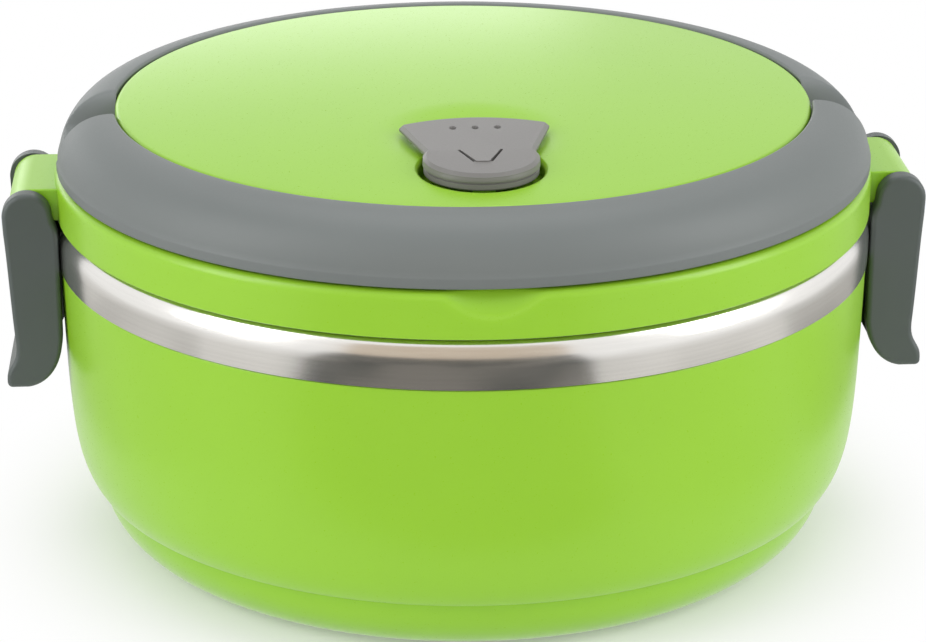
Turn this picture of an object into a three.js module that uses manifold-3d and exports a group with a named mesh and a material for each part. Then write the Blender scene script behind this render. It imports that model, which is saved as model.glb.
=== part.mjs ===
// Round insulated food container with a folding handle, two side clips and a vent valve.
// Sizes are millimetres. +Z is up, the front faces -Y, and the base stands on z = 0.
import * as THREE from "three";
import { mergeVertices, toCreasedNormals } from "three/addons/utils/BufferGeometryUtils.js";
import ManifoldModule from "manifold-3d";

// Fits
const FIT = 0.3; // between pieces that sit against each other
const SWING = 0.4; // between a piece that turns and what it passes
const PIN_FIT = 0.1; // between a pin and its hole

// Shell
const BODY_R = 75; // outside of the wall under the steel band
const SHELL_WALL = 2.2;
const SHELL_H = 53.1; // shoulder that the steel band stands over
const FOOT_ROUND = 10.6; // round at the lower edge
const FOOT_INSET = 6.1; // how far the foot's side stands in from the wall
const CREASE_STEP = 1.6; // wall over foot at the ring crease
const CREASE_RISE = 1; // ring crease above the foot's round
const WALL_FLARE = 3.7; // how fast the wall swells above the crease
const WALL_BOW = 0.7; // wall's swell below the shoulder
const RECESS_R = 46; // hollow under the base
const RECESS_H = 1.2;
const LIP_DROP = 0.7; // shell's lip below the steel rim

// Steel liner
const SHEET = 0.8;
const BAND_PROUD = 0.3; // band outside the shell's wall
const BAND_H = 4.4; // flat part of the band
const BEAD_H = 3.1; // rolled part above it
const BEAD_INSET = 0.6; // rolled part inside the flat part
const BEAD_SLOPE = 0.6; // height of the step between the two
const BEAD_ROUND = 1.6; // outer round of the rim
const RIM_ROUND = 2; // inner round of the rim
const AIR_GAP = 2.5; // between shell and liner at the rim
const BOWL_TAPER = 3.5; // how much narrower the bowl is at its lower round
const BOWL_ROUND = 14;
const BOWL_LIFT = 3; // steel floor above the shell's floor

// Lid
const LID_PROUD = 0.2; // skirt outside the shell's wall
const LID_WALL = 2.2;
const SKIRT_H = 9.2;
const SKIRT_ROUND = 1.5;
const CORNER_W = 4.8; // thick inner corner of the skirt that takes the finger scoop
const CORNER_H = 3.9;
const DOME_H = 2.6;
const PANEL_ROUND = 0.9;
const SCOOP_R = 20;
const SCOOP_LEN = 26;
const SCOOP_DEPTH = 4.4;
const SCOOP_TILT = 40; // degrees

// Lid insert and seal
const PLUG_GAP = 0.6;
const PLUG_DEPTH = 3.9; // below the steel rim
const PLATE = 1.8;
const FLANGE = 1.5;
const SEAL_H = 1;

// Handle and rear trim, two halves of one ring
const RING_W = 10.5;
const RING_GAP = 0.6; // ring to panel
const RING_SETBACK = 0.6; // ring inside the skirt
const RING_LIFT = 0.7; // ring above the ledge
const RING_H = 10.2;
const RING_WALL = 2.2;
const PIVOT_Y = -2; // handle pivot, just in front of the middle
const PIVOT_RISE = 4.8; // pivot above the ring's underside
const HANDLE_END = 5.8; // end of the handle's full section in front of its pivot
const TONGUE = 2.4; // plate beside the panel that carries the pivot
const TONGUE_R = 4.4;
const HUB_REACH = 9; // solid length at each end of the handle
const RAMP_Y = 5.5; // top of the trim's ramp
const HANDLE_PIN_R = 1.8;
const HANDLE_PIN_HEAD = 1;

// Clips
const CLIP_W = 28;
const CHEEK = 3.1;
const CLIP_R = 4.7; // round top
const CLIP_PIN_OUT = 4.8; // pin axis outside the skirt
const CLIP_PIN_DROP = 5.7; // pin axis below the ledge
const CLIP_LEN = 32.9; // pin axis to lower end
const CLIP_WAIST = 1.5; // waist inside the round top's outer side
const CLIP_PIN_R = 1.5;
const CHEEK_SKIN = 1; // cheek left outside the pin's end
const WEB_IN = 0.9; // web reaches this far inside the pin axis
const LUG_R = 4.3;

// Catches
const CATCH_W = 17.2;
const CATCH_H = 6.6;
const CATCH_OUT = 1.4; // plate outside the band
const CATCH_LIP = 1; // lip on its lower edge
const RIVET_R = 0.9;
const RIVET_SPREAD = 5.2; // each side of the middle
const RIVET_HEAD_R = 1.4;
const RIVET_HEAD = 0.7;

// Vent valve
const VALVE_INSET = 17.1; // head's centre inside the panel's edge
const HEAD_R = 10;
const HEAD_H = 3.4; // depth of the round head
const TAB_PLATE = 1.15;
const VALVE_PROUD = 3.6; // valve's top above the panel's edge
const TAB_HALF = 12.9;
const TAB_TIP = 14.9; // tips behind the head's centre
const TAB_REACH = 20.8; // middle of the tab behind the head's centre
const POCKET_GAP = 0.6;
const POCKET_DROP = 2; // pocket's floor below the panel's edge
const HINGE_Y = 7.2; // pin in front of the head's centre
const HINGE_DROP = 2.2; // pin below the valve's top
const VALVE_PIN_R = 0.6;
const EAR_HALF = 2;
const EAR_R = 1.2;
const VENT_R = 2.4;
const STOPPER_R = 3.4;
const NOSE_R = 1.8;

// Facets
const ROUND = 60;
const SMALL = 14;

// Levels and radii that follow from the sizes above
const bandR = BODY_R + BAND_PROUD;
const bandInR = bandR - SHEET;
const beadR = bandR - BEAD_INSET;
const shellInR = BODY_R - SHELL_WALL;
const mouthR = shellInR - AIR_GAP - SHEET;
const footR = BODY_R - FOOT_INSET;
const lidR = BODY_R + LID_PROUD;
const lidInR = lidR - LID_WALL;
const plugR = mouthR - PLUG_GAP;
const ringOutR = lidR - RING_SETBACK;
const ringInR = ringOutR - RING_W;
const panelR = ringInR - RING_GAP;
const bandZ = SHELL_H + FIT;
const beadZ = bandZ + BAND_H;
const rimZ = beadZ + BEAD_H;
const skirtZ = rimZ + FIT;
const ledgeZ = skirtZ + SKIRT_H;
const ringZ = ledgeZ + RING_LIFT;
const ringTopZ = ringZ + RING_H;
const panelZ = ringTopZ + 0.1;
const pivotZ = ringZ + PIVOT_RISE;
const endY = PIVOT_Y - HANDLE_END;
const tongueX = panelR + SWING;
const clipPinX = lidR + CLIP_PIN_OUT;
const clipPinZ = ledgeZ - CLIP_PIN_DROP;
const valveY = VALVE_INSET - panelR;
const valveZ = panelZ + VALVE_PROUD;
const valvePinY = valveY - HINGE_Y;
const valvePinZ = valveZ - HINGE_DROP;
const pocketZ = panelZ - POCKET_DROP;
const FAR = 200; // beyond everything, for cutting blocks

const wasm = await ManifoldModule();
wasm.setup();

const at = (x, y) => new THREE.Vector2(x, y);

// Points on an arc, angles in degrees.
function arc(x, y, r, from, to, steps) {
  const points = [];
  for (let i = 0; i <= steps; i++) {
    const a = THREE.MathUtils.degToRad(from + ((to - from) * i) / steps);
    points.push(at(x + r * Math.cos(a), y + r * Math.sin(a)));
  }
  return points;
}

function bezier(a, b, c, d, steps) {
  return new THREE.CubicBezierCurve(a, b, c, d).getPoints(steps);
}

// A closed solid from a geometry's triangles.
function solidOf(geometry) {
  const bare = new THREE.BufferGeometry();
  const source = geometry.index ? geometry.toNonIndexed() : geometry;
  bare.setAttribute("position", source.getAttribute("position"));
  const welded = mergeVertices(bare, 1e-4);
  const index = welded.index.array;
  const triangles = [];
  for (let i = 0; i < index.length; i += 3) {
    const [a, b, c] = [index[i], index[i + 1], index[i + 2]];
    if (a !== b && b !== c && c !== a) triangles.push(a, b, c);
  }
  const mesh = new wasm.Mesh({
    numProp: 3,
    vertProperties: welded.getAttribute("position").array,
    triVerts: new Uint32Array(triangles),
  });
  return new wasm.Manifold(mesh);
}

// A profile of radius and height, turned about Z.
function turned(profile) {
  const points = THREE.ShapeUtils.isClockWise(profile) ? [...profile].reverse() : [...profile];
  if (points[0].x > 0) points.push(points[0].clone());
  return solidOf(new THREE.LatheGeometry(points, ROUND).rotateX(Math.PI / 2));
}

// An outline in plan, raised from z0 to z1.
function raised(outline, z0, z1) {
  const depth = z1 - z0;
  const geometry = new THREE.ExtrudeGeometry(outline, { depth, bevelEnabled: false });
  return solidOf(geometry.translate(0, 0, z0));
}

// An outline of x and height, carried along Y from -half to half.
function alongY(points, half) {
  const shape = new THREE.Shape(points);
  const geometry = new THREE.ExtrudeGeometry(shape, { depth: 2 * half, bevelEnabled: false });
  return solidOf(geometry.rotateX(Math.PI / 2).translate(0, half, 0));
}

// An outline of y and height, carried along X from -half to half.
function alongX(points, half) {
  const shape = new THREE.Shape(points);
  const geometry = new THREE.ExtrudeGeometry(shape, { depth: 2 * half, bevelEnabled: false });
  const axes = new THREE.Matrix4().makeBasis(
    new THREE.Vector3(0, 1, 0),
    new THREE.Vector3(0, 0, 1),
    new THREE.Vector3(1, 0, 0),
  );
  return solidOf(geometry.applyMatrix4(axes).translate(-half, 0, 0));
}

function rod(r, length, axis, x, y, z, sides = SMALL, endR = r) {
  const geometry = new THREE.CylinderGeometry(endR, r, length, sides);
  if (axis === "x") geometry.rotateZ(-Math.PI / 2);
  if (axis === "z") geometry.rotateX(Math.PI / 2);
  return solidOf(geometry.translate(x, y, z));
}

function block(x0, x1, y0, y1, z0, z1) {
  const geometry = new THREE.BoxGeometry(x1 - x0, y1 - y0, z1 - z0);
  return solidOf(geometry.translate((x0 + x1) / 2, (y0 + y1) / 2, (z0 + z1) / 2));
}

// Half a turn about Z, for the pieces of the left side.
const halfTurn = (solid) => solid.rotate([0, 0, 180]);

const green = new THREE.MeshStandardMaterial({ color: 0x98cf3f, roughness: 0.35, metalness: 0 });
const grey = new THREE.MeshStandardMaterial({ color: 0x868a8a, roughness: 0.5, metalness: 0 });
const darkGrey = new THREE.MeshStandardMaterial({ color: 0x5f6665, roughness: 0.5, metalness: 0 });
const white = new THREE.MeshStandardMaterial({ color: 0xe9ece6, roughness: 0.45, metalness: 0 });
const silicone = new THREE.MeshStandardMaterial({ color: 0xd9dcd8, roughness: 0.7, metalness: 0 });
const steel = new THREE.MeshStandardMaterial({ color: 0xc9cac8, roughness: 0.12, metalness: 1 });

function piece(name, solid, material) {
  const data = solid.getMesh();
  const geometry = new THREE.BufferGeometry();
  geometry.setAttribute("position", new THREE.BufferAttribute(data.vertProperties, 3));
  geometry.setIndex(new THREE.BufferAttribute(data.triVerts, 1));
  const mesh = new THREE.Mesh(toCreasedNormals(geometry, Math.PI / 7), material);
  mesh.name = name;
  return mesh;
}

// Shell: rounded foot, ring crease, wall that bows out to the shoulder, and a lip inside the band.
function outerShell() {
  const wallR = footR + CREASE_STEP;
  const creaseZ = FOOT_ROUND + CREASE_RISE;
  const lipR = bandInR - FIT;
  const lipTopR = beadR - SHEET - SWING;
  const lipZ = rimZ - SHEET - LIP_DROP;
  const floorZ = RECESS_H + SHELL_WALL;
  const wall = (inset) =>
    bezier(
      at(wallR - inset, creaseZ),
      at(wallR + WALL_FLARE - inset, creaseZ + 0.09 * SHELL_H),
      at(BODY_R - WALL_BOW - inset, creaseZ + 0.34 * (SHELL_H - creaseZ)),
      at(BODY_R - inset, SHELL_H),
      inset > 0 ? 3 : 6,
    );
  const footCentre = footR - FOOT_ROUND;
  return turned([
    at(0, RECESS_H),
    at(RECESS_R, RECESS_H),
    at(RECESS_R + RECESS_H, 0),
    ...arc(footCentre, FOOT_ROUND, FOOT_ROUND, -90, 0, 5),
    at(footR, creaseZ - 0.6 * CREASE_RISE),
    ...wall(0),
    at(lipR, SHELL_H),
    at(lipR, beadZ - 2 * SWING),
    at(lipTopR, beadZ),
    at(lipTopR, lipZ),
    at(shellInR, lipZ),
    ...wall(SHELL_WALL).reverse(),
    ...arc(footCentre, creaseZ, creaseZ - floorZ, 0, -90, 2),
    at(0, floorZ),
  ]);
}

// Steel bowl whose rim rolls out and down over the shell's lip as a band.
function steelLiner() {
  const floorZ = RECESS_H + SHELL_WALL + BOWL_LIFT + SHEET;
  const lowR = mouthR - BOWL_TAPER;
  const inside = (grow) => [
    ...arc(lowR - BOWL_ROUND, floorZ + BOWL_ROUND, BOWL_ROUND + grow, -90, 0, 4),
    at(mouthR + grow, rimZ - RIM_ROUND - SHEET / 2),
  ];
  const rim = (grow) => [
    ...arc(mouthR + RIM_ROUND, rimZ - RIM_ROUND, RIM_ROUND - grow, 180, 90, 2),
    ...arc(beadR - BEAD_ROUND, rimZ - BEAD_ROUND, BEAD_ROUND - grow, 90, 0, 2),
  ];
  return turned([
    at(0, floorZ),
    ...inside(0),
    ...rim(0),
    at(beadR, beadZ + BEAD_SLOPE),
    at(bandR, beadZ),
    at(bandR, bandZ),
    at(bandInR, bandZ),
    at(bandInR, beadZ - SHEET / 2),
    at(beadR - SHEET, beadZ + BEAD_SLOPE / 2),
    ...rim(SHEET).reverse(),
    ...inside(SHEET).reverse(),
    at(0, floorZ - SHEET),
  ]);
}

const rivetZ = bandZ + 3;

// Holes for the two rivets on each side, through every piece that they hold.
function withRivetHoles(solid) {
  let cut = solid;
  for (const side of [-1, 1]) {
    for (const end of [-1, 1]) {
      const hole = rod(RIVET_R + FIT, 12, "x", side * BODY_R, end * RIVET_SPREAD, rivetZ);
      cut = cut.subtract(hole);
    }
  }
  return cut;
}

// Catch on the right side: a plate that follows the band, with a lip along its lower edge.
function catchPlate() {
  const backR = bandR + FIT;
  const faceX = bandR + CATCH_OUT;
  const z0 = bandZ + 0.4;
  const z1 = z0 + CATCH_H;
  const body = alongY(
    [
      at(backR - 3, z0),
      at(faceX + CATCH_LIP, z0),
      at(faceX + CATCH_LIP, z0 + 0.6),
      at(faceX, z0 + 0.9),
      at(faceX, z1 - 1),
      at(faceX - 0.8, z1),
      at(backR - 3, z1),
    ],
    CATCH_W / 2,
  );
  const band = turned([at(0, z0 - 1), at(backR, z0 - 1), at(backR, z1 + 1), at(0, z1 + 1)]);
  return withRivetHoles(body.subtract(band));
}

// Rivet of the right side, from outside the catch to inside the shell's lip.
function catchRivet(end) {
  const y = end * RIVET_SPREAD;
  const faceX = bandR + CATCH_OUT;
  const innerX = Math.sqrt(shellInR ** 2 - (RIVET_SPREAD + RIVET_HEAD_R) ** 2) - FIT;
  const middle = (faceX + innerX) / 2;
  const shank = rod(RIVET_R, faceX - innerX + 1.4, "x", middle, y, rivetZ, 12);
  const outer = rod(RIVET_HEAD_R, RIVET_HEAD, "x", faceX + FIT + RIVET_HEAD / 2, y, rivetZ, 12);
  const inner = rod(RIVET_HEAD_R, RIVET_HEAD, "x", innerX - RIVET_HEAD / 2, y, rivetZ, 12);
  return shank.add(outer).add(inner);
}

// Height of the panel's top over a radius.
const domeZ = (r) => panelZ + DOME_H * (1 - (r / panelR) ** 2);

// Lug profile of the right side, about the clip's pin.
function lugProfile() {
  const root = lidR - LID_WALL * 0.7;
  return [
    at(root, skirtZ + FIT),
    at(lidR + 0.8, skirtZ + FIT),
    ...arc(clipPinX, clipPinZ, LUG_R, -110, 90, 12),
    at(root, clipPinZ + LUG_R),
  ];
}

// Lid cover: domed panel, wall, ledge under the ring, skirt, lugs, and the pocket of the valve.
function lidCover() {
  const dome = [];
  for (let i = 0; i <= 4; i++) {
    const r = ((panelR - PANEL_ROUND) * i) / 4;
    dome.push(at(r, domeZ(r)));
  }
  const innerR = panelR - LID_WALL;
  const body = turned([
    ...dome,
    ...arc(panelR - PANEL_ROUND, panelZ - PANEL_ROUND, PANEL_ROUND, 60, 0, 2),
    at(panelR, ledgeZ),
    ...arc(lidR - SKIRT_ROUND, ledgeZ - SKIRT_ROUND, SKIRT_ROUND, 90, 0, 3),
    at(lidR, skirtZ + 0.5),
    at(lidR - 0.5, skirtZ),
    at(lidInR, skirtZ),
    at(lidInR, ledgeZ - LID_WALL - CORNER_H),
    at(lidInR - CORNER_W, ledgeZ - LID_WALL),
    at(innerR, ledgeZ - LID_WALL),
    at(innerR, panelZ - LID_WALL - PANEL_ROUND / 3),
    at(innerR * 0.6, domeZ(panelR * 0.6) - LID_WALL),
    at(0, domeZ(0) - LID_WALL),
  ]);

  const lug = alongY(lugProfile(), CLIP_W / 2 - CHEEK - FIT);
  const cupR = HEAD_R + POCKET_GAP + LID_WALL;
  const cupTop = panelZ - LID_WALL / 2;
  const cupFloor = pocketZ - LID_WALL;
  const cup = rod(cupR, cupTop - cupFloor, "z", 0, valveY, (cupTop + cupFloor) / 2, 36);
  const pocket = rod(HEAD_R + POCKET_GAP, 20, "z", 0, valveY, pocketZ + 10, 36);
  const vent = rod(VENT_R, 20, "z", 0, valveY, pocketZ);
  const ear = alongX(
    [
      ...arc(valvePinY, valvePinZ, EAR_R, 25, 285, 10),
      at(valvePinY + 1, valvePinZ - EAR_R - 0.5),
      at(valvePinY + 1, pocketZ - 0.5),
      at(valvePinY + 3.8, pocketZ - 0.5),
      at(valvePinY + 3.8, pocketZ + 1),
    ],
    EAR_HALF,
  );
  const tilt = THREE.MathUtils.degToRad(SCOOP_TILT);
  const scoop = solidOf(
    new THREE.CylinderGeometry(SCOOP_R, SCOOP_R, SCOOP_LEN, 48)
      .translate(0, 0, SCOOP_R)
      .rotateX(tilt)
      .translate(0, -lidR, ledgeZ - SCOOP_DEPTH),
  );

  const clipHole = rod(CLIP_PIN_R + PIN_FIT, CLIP_W, "y", clipPinX, 0, clipPinZ);
  return body
    .add(lug)
    .add(halfTurn(lug))
    .add(cup)
    .subtract(pocket)
    .add(ear)
    .subtract(vent)
    .subtract(scoop)
    .subtract(clipHole)
    .subtract(halfTurn(clipHole))
    .subtract(rod(VALVE_PIN_R + PIN_FIT, 3 * EAR_HALF, "x", 0, valvePinY, valvePinZ))
    .subtract(handleAxis(HANDLE_PIN_R + PIN_FIT, innerR - 3, panelR + 2, 1))
    .subtract(handleAxis(HANDLE_PIN_R + PIN_FIT, innerR - 3, panelR + 2, -1));
}

// A rod on the handle's pivot axis between two distances from the middle.
function handleAxis(r, from, to, side) {
  return rod(r, to - from, "x", (side * (from + to)) / 2, PIVOT_Y, pivotZ);
}

// Inner plate of the lid: a plug in the mouth, hung from a flange over the steel rim.
function lidInsert() {
  const z0 = rimZ - PLUG_DEPTH;
  const flangeZ = skirtZ + SEAL_H + FIT;
  const body = turned([
    at(0, z0),
    at(plugR - 1, z0),
    at(plugR, z0 + 1),
    at(plugR, flangeZ),
    at(lidInR - FIT, flangeZ),
    at(lidInR - FIT, flangeZ + FLANGE),
    at(plugR - PLATE, flangeZ + FLANGE),
    at(plugR - PLATE, z0 + PLATE),
    at(0, z0 + PLATE),
  ]);
  return body.subtract(rod(VENT_R, 20, "z", 0, valveY, z0));
}

function lidSeal() {
  const r0 = plugR + FIT;
  const r1 = lidInR - 2 * FIT;
  const z1 = skirtZ + SEAL_H;
  return turned([
    at(r0, skirtZ),
    at(r1 - 0.4, skirtZ),
    at(r1, skirtZ + 0.4),
    at(r1, z1),
    at(r0, z1),
  ]);
}

// Section of the ring: flat below, rounded over its outer and upper side, cored from below.
function ringBody() {
  return turned([
    at(ringInR, ringZ),
    at(ringOutR - 0.8, ringZ),
    ...bezier(
      at(ringOutR, ringZ + 0.8),
      at(ringOutR, ringZ + 0.64 * RING_H),
      at(ringOutR - 4, ringTopZ - 0.2),
      at(ringInR + 0.7, ringTopZ),
      8,
    ),
    at(ringInR, ringTopZ - 0.7),
  ]);
}

function ringCore() {
  const r0 = ringInR + RING_WALL;
  const r1 = ringOutR - RING_WALL;
  const top = ringTopZ - RING_WALL;
  return turned([
    at(r0, ringZ - 1),
    at(r1, ringZ - 1),
    ...bezier(
      at(r1, ringZ),
      at(r1, ringZ + 0.5 * RING_H),
      at(r1 - 2, top - 0.4),
      at(r0 + 1, top - 0.2),
      5,
    ),
    at(r0, top - 0.8),
  ]);
}

// Plate at each end of the handle, beside the panel's wall, round about the pivot.
function tongue(side) {
  const plate = alongX(
    [
      at(endY - 4, pivotZ - TONGUE_R),
      ...arc(PIVOT_Y, pivotZ, TONGUE_R, -90, 90, 10),
      at(endY - 4, pivotZ + TONGUE_R),
    ],
    TONGUE / 2,
  );
  return plate.translate([side * (tongueX + TONGUE / 2), 0, 0]);
}

// Front half of the ring, with a tongue at both ends that turns on a pin.
function carryHandle() {
  const keep = block(-FAR, FAR, -FAR, endY, 0, FAR);
  const hollow = ringCore().intersect(block(-FAR, FAR, -FAR, endY - HUB_REACH, 0, FAR));
  const reach = tongueX + TONGUE + 1;
  return ringBody()
    .intersect(keep)
    .subtract(hollow)
    .add(tongue(1))
    .add(tongue(-1))
    .subtract(handleAxis(HANDLE_PIN_R + PIN_FIT, panelR - 5, reach, 1))
    .subtract(handleAxis(HANDLE_PIN_R + PIN_FIT, panelR - 5, reach, -1));
}

// Rear half of the ring, seated on the ledge, ramped down behind the handle's ends.
function rearTrim() {
  const startY = endY + SWING;
  const startZ = ringZ + RING_H / 3;
  const keep = alongX(
    [
      at(startY, ringZ - 5),
      ...bezier(
        at(startY, startZ),
        at(startY + 5, startZ + 0.8),
        at(RAMP_Y - 4, ringTopZ - 4),
        at(RAMP_Y, ringTopZ + 0.6),
        6,
      ),
      at(RAMP_Y, ringTopZ + 5),
      at(FAR, ringTopZ + 5),
      at(FAR, ringZ - 5),
    ],
    FAR,
  );
  const slotX = tongueX + TONGUE + SWING;
  const slot = block(-slotX, slotX, -FAR, PIVOT_Y + TONGUE_R + SWING, 0, FAR);
  const hollow = ringCore().intersect(block(-FAR, FAR, RAMP_Y + 3, FAR, 0, FAR));
  return ringBody()
    .intersect(keep)
    .subtract(slot)
    .subtract(hollow)
    .translate([0, 0, FIT - RING_LIFT]);
}

// Pivot of the handle on the right side, headed inside the panel's wall.
function handlePin() {
  const innerR = panelR - LID_WALL;
  const headR = HANDLE_PIN_R + 0.6;
  const headX = Math.sqrt(innerR ** 2 - (Math.abs(PIVOT_Y) + headR) ** 2) - FIT;
  const shank = handleAxis(HANDLE_PIN_R, headX - HANDLE_PIN_HEAD / 2, tongueX + TONGUE - 0.2, 1);
  return shank.add(handleAxis(headR, headX - HANDLE_PIN_HEAD, headX, 1));
}

// Clip of the right side: two cheeks about the lug, a web below it, and a ridge over the catch.
function clip() {
  const x = clipPinX;
  const z = clipPinZ;
  const lowZ = z - CLIP_LEN;
  const innerX = lidR - 0.2;
  const waistX = x + CLIP_R - CLIP_WAIST;
  const waistZ = lowZ + 9;
  const tipX = x + CLIP_R + 0.5;
  const outline = [
    at(innerX, lowZ + 11),
    at(innerX + 0.1, lowZ + 17),
    ...arc(x, z, CLIP_R, 172, 0, 14),
    ...bezier(
      at(x + CLIP_R - 0.1, z - 3),
      at(x + CLIP_R - 0.6, z - 9),
      at(waistX + 0.6, waistZ + 8),
      at(waistX, waistZ),
      6,
    ),
    ...bezier(
      at(waistX, waistZ - 1),
      at(waistX + 0.1, waistZ - 4),
      at(tipX, lowZ + 4),
      at(tipX, lowZ + 1.2),
      5,
    ),
    at(tipX - 0.6, lowZ),
    ...bezier(at(x, lowZ), at(x - 2.8, lowZ + 3.8), at(innerX + 0.3, lowZ + 7), at(innerX, lowZ + 10.5), 6),
  ];
  const webX = x - WEB_IN;
  const webTop = z - LUG_R - 1.6;
  const between = alongY(
    [
      at(x - 20, lowZ + 2.2),
      at(webX, lowZ + 2.2),
      at(webX, webTop),
      at(x + 20, webTop),
      at(x + 20, z + 20),
      at(x - 20, z + 20),
    ],
    CLIP_W / 2 - CHEEK,
  );
  const ridgeX = bandR + CATCH_OUT + CATCH_LIP + SWING;
  const ridgeZ = bandZ - 2.6;
  const ridge = alongY(
    [at(webX + 1, ridgeZ - 2), at(webX + 1, ridgeZ + 2), at(ridgeX, ridgeZ + 0.6), at(ridgeX, ridgeZ - 0.6)],
    CATCH_W / 2,
  );
  const hole = rod(CLIP_PIN_R + PIN_FIT, CLIP_W - 2 * CHEEK_SKIN, "y", x, 0, z);
  return alongY(outline, CLIP_W / 2).subtract(between).add(ridge).subtract(hole);
}

function clipPin() {
  return rod(CLIP_PIN_R, CLIP_W - 2 * CHEEK_SKIN - 2 * FIT, "y", clipPinX, 0, clipPinZ);
}

// Outline of the valve's top plate: round head in front, flared tab behind.
function valveOutline() {
  const tipY = valveY + TAB_TIP;
  const shape = new THREE.Shape();
  const neck = THREE.MathUtils.degToRad(18);
  shape.moveTo(HEAD_R * Math.cos(neck), valveY + HEAD_R * Math.sin(neck));
  shape.lineTo(TAB_HALF, tipY - 0.6);
  shape.quadraticCurveTo(TAB_HALF + 0.3, tipY, TAB_HALF - 0.5, tipY + 0.3);
  shape.quadraticCurveTo(0, 2 * (valveY + TAB_REACH) - tipY, 0.5 - TAB_HALF, tipY + 0.3);
  shape.quadraticCurveTo(-TAB_HALF - 0.3, tipY, -TAB_HALF, tipY - 0.6);
  shape.lineTo(-HEAD_R * Math.cos(neck), valveY + HEAD_R * Math.sin(neck));
  shape.absarc(0, valveY, HEAD_R, Math.PI - neck, 2 * Math.PI + neck, false);
  return shape;
}

// Valve lever: plate and head, with a slot for the ear, slits, and dimples on the tab.
function valveLever() {
  const headZ = valveZ - HEAD_H;
  const step = valveZ - TAB_PLATE - 0.3;
  let solid = raised(valveOutline(), valveZ - TAB_PLATE, valveZ)
    .add(rod(HEAD_R - 0.25, step - headZ + 0.5, "z", 0, valveY, (step + headZ + 0.5) / 2, 36));
  const slotR = EAR_R + SWING;
  const slot = alongX(
    [
      at(valvePinY - slotR, headZ - 2),
      at(valvePinY + 4.3, headZ - 2),
      at(valvePinY + 4.3, pocketZ + 1.4),
      ...arc(valvePinY, valvePinZ, slotR, 25, 180, 7),
    ],
    EAR_HALF + SWING,
  );
  solid = solid
    .subtract(slot)
    .subtract(rod(VALVE_PIN_R + PIN_FIT, 10, "x", 0, valvePinY, valvePinZ));
  for (const side of [-1, 1]) {
    const slit = new THREE.BoxGeometry(0.8, 6.6, 1.4)
      .rotateZ(side * THREE.MathUtils.degToRad(-18))
      .translate(side * 2.5, valveY - 0.4, valveZ);
    solid = solid.subtract(solidOf(slit));
  }
  for (const x of [-4, 0, 4]) {
    solid = solid.subtract(rod(0.7, 0.8, "z", x, valveY + TAB_TIP + 0.4, valveZ, 12));
  }
  return solid;
}

function valvePin() {
  return rod(VALVE_PIN_R, 9.2, "x", 0, valvePinY, valvePinZ);
}

// Soft stopper under the lever's head, nosed into the vent hole.
function valveStopper() {
  const top = valveZ - HEAD_H - FIT;
  const seat = pocketZ + SWING;
  const nose = 1.2;
  return rod(STOPPER_R, top - seat, "z", 0, valveY, (top + seat) / 2, 24).add(
    rod(NOSE_R - 0.3, nose + 0.4, "z", 0, valveY, seat - nose / 2 + 0.2, 24, NOSE_R),
  );
}

function group(name, ...children) {
  const made = new THREE.Group();
  made.name = name;
  made.add(...children);
  return made;
}

const rightCatch = catchPlate();
const rightClip = clip();
const rightClipPin = clipPin();
const rightHandlePin = handlePin();

const container = group(
  "food_container",
  group(
    "base",
    piece("outer_shell", withRivetHoles(outerShell()), green),
    piece("steel_liner", withRivetHoles(steelLiner()), steel),
    piece("catch_right", rightCatch, darkGrey),
    piece("catch_left", halfTurn(rightCatch), darkGrey),
    piece("catch_rivet_right_front", catchRivet(-1), steel),
    piece("catch_rivet_right_rear", catchRivet(1), steel),
    piece("catch_rivet_left_front", halfTurn(catchRivet(1)), steel),
    piece("catch_rivet_left_rear", halfTurn(catchRivet(-1)), steel),
  ),
  group(
    "lid",
    piece("lid_cover", lidCover(), green),
    piece("lid_inner_cover", lidInsert(), white),
    piece("lid_seal", lidSeal(), silicone),
    piece("rear_trim", rearTrim(), grey),
    piece("handle_pin_right", rightHandlePin, steel),
    piece("handle_pin_left", rightHandlePin.mirror([1, 0, 0]), steel),
    piece("clip_pin_right", rightClipPin, steel),
    piece("clip_pin_left", halfTurn(rightClipPin), steel),
    piece("valve_pin", valvePin(), steel),
  ),
  group("handle", piece("carry_handle", carryHandle(), grey)),
  group("clips", piece("clip_right", rightClip, darkGrey), piece("clip_left", halfTurn(rightClip), darkGrey)),
  group("valve", piece("valve_lever", valveLever(), grey), piece("valve_stopper", valveStopper(), silicone)),
);

export default container;
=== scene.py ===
"""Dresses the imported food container: finer meshes, procedural finishes, studio light and camera."""

from __future__ import annotations

import logging
import math
from dataclasses import dataclass
from enum import Enum
from typing import Any, Callable, Sequence

import bmesh
import bpy
from mathutils import Matrix, Vector

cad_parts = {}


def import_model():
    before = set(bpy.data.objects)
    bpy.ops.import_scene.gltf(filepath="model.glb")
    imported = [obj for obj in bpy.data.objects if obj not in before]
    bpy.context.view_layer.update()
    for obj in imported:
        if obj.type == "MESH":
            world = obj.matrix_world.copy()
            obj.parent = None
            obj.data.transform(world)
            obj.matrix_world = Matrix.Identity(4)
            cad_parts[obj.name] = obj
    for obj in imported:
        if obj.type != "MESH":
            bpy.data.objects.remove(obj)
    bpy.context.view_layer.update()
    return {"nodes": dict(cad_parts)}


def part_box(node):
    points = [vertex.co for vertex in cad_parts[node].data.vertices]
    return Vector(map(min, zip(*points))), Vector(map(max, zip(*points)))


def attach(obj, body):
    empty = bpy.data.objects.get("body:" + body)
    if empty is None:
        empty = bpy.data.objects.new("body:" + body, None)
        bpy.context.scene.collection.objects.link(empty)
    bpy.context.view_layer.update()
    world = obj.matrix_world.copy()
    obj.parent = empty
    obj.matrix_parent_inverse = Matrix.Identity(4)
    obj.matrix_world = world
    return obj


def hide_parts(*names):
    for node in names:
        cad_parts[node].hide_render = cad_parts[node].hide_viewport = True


LOG = logging.getLogger("food_container")
MM = 0.001  # sizes below are millimetres, Blender's are metres
WELD = 0.002  # points nearer than this are one point
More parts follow.
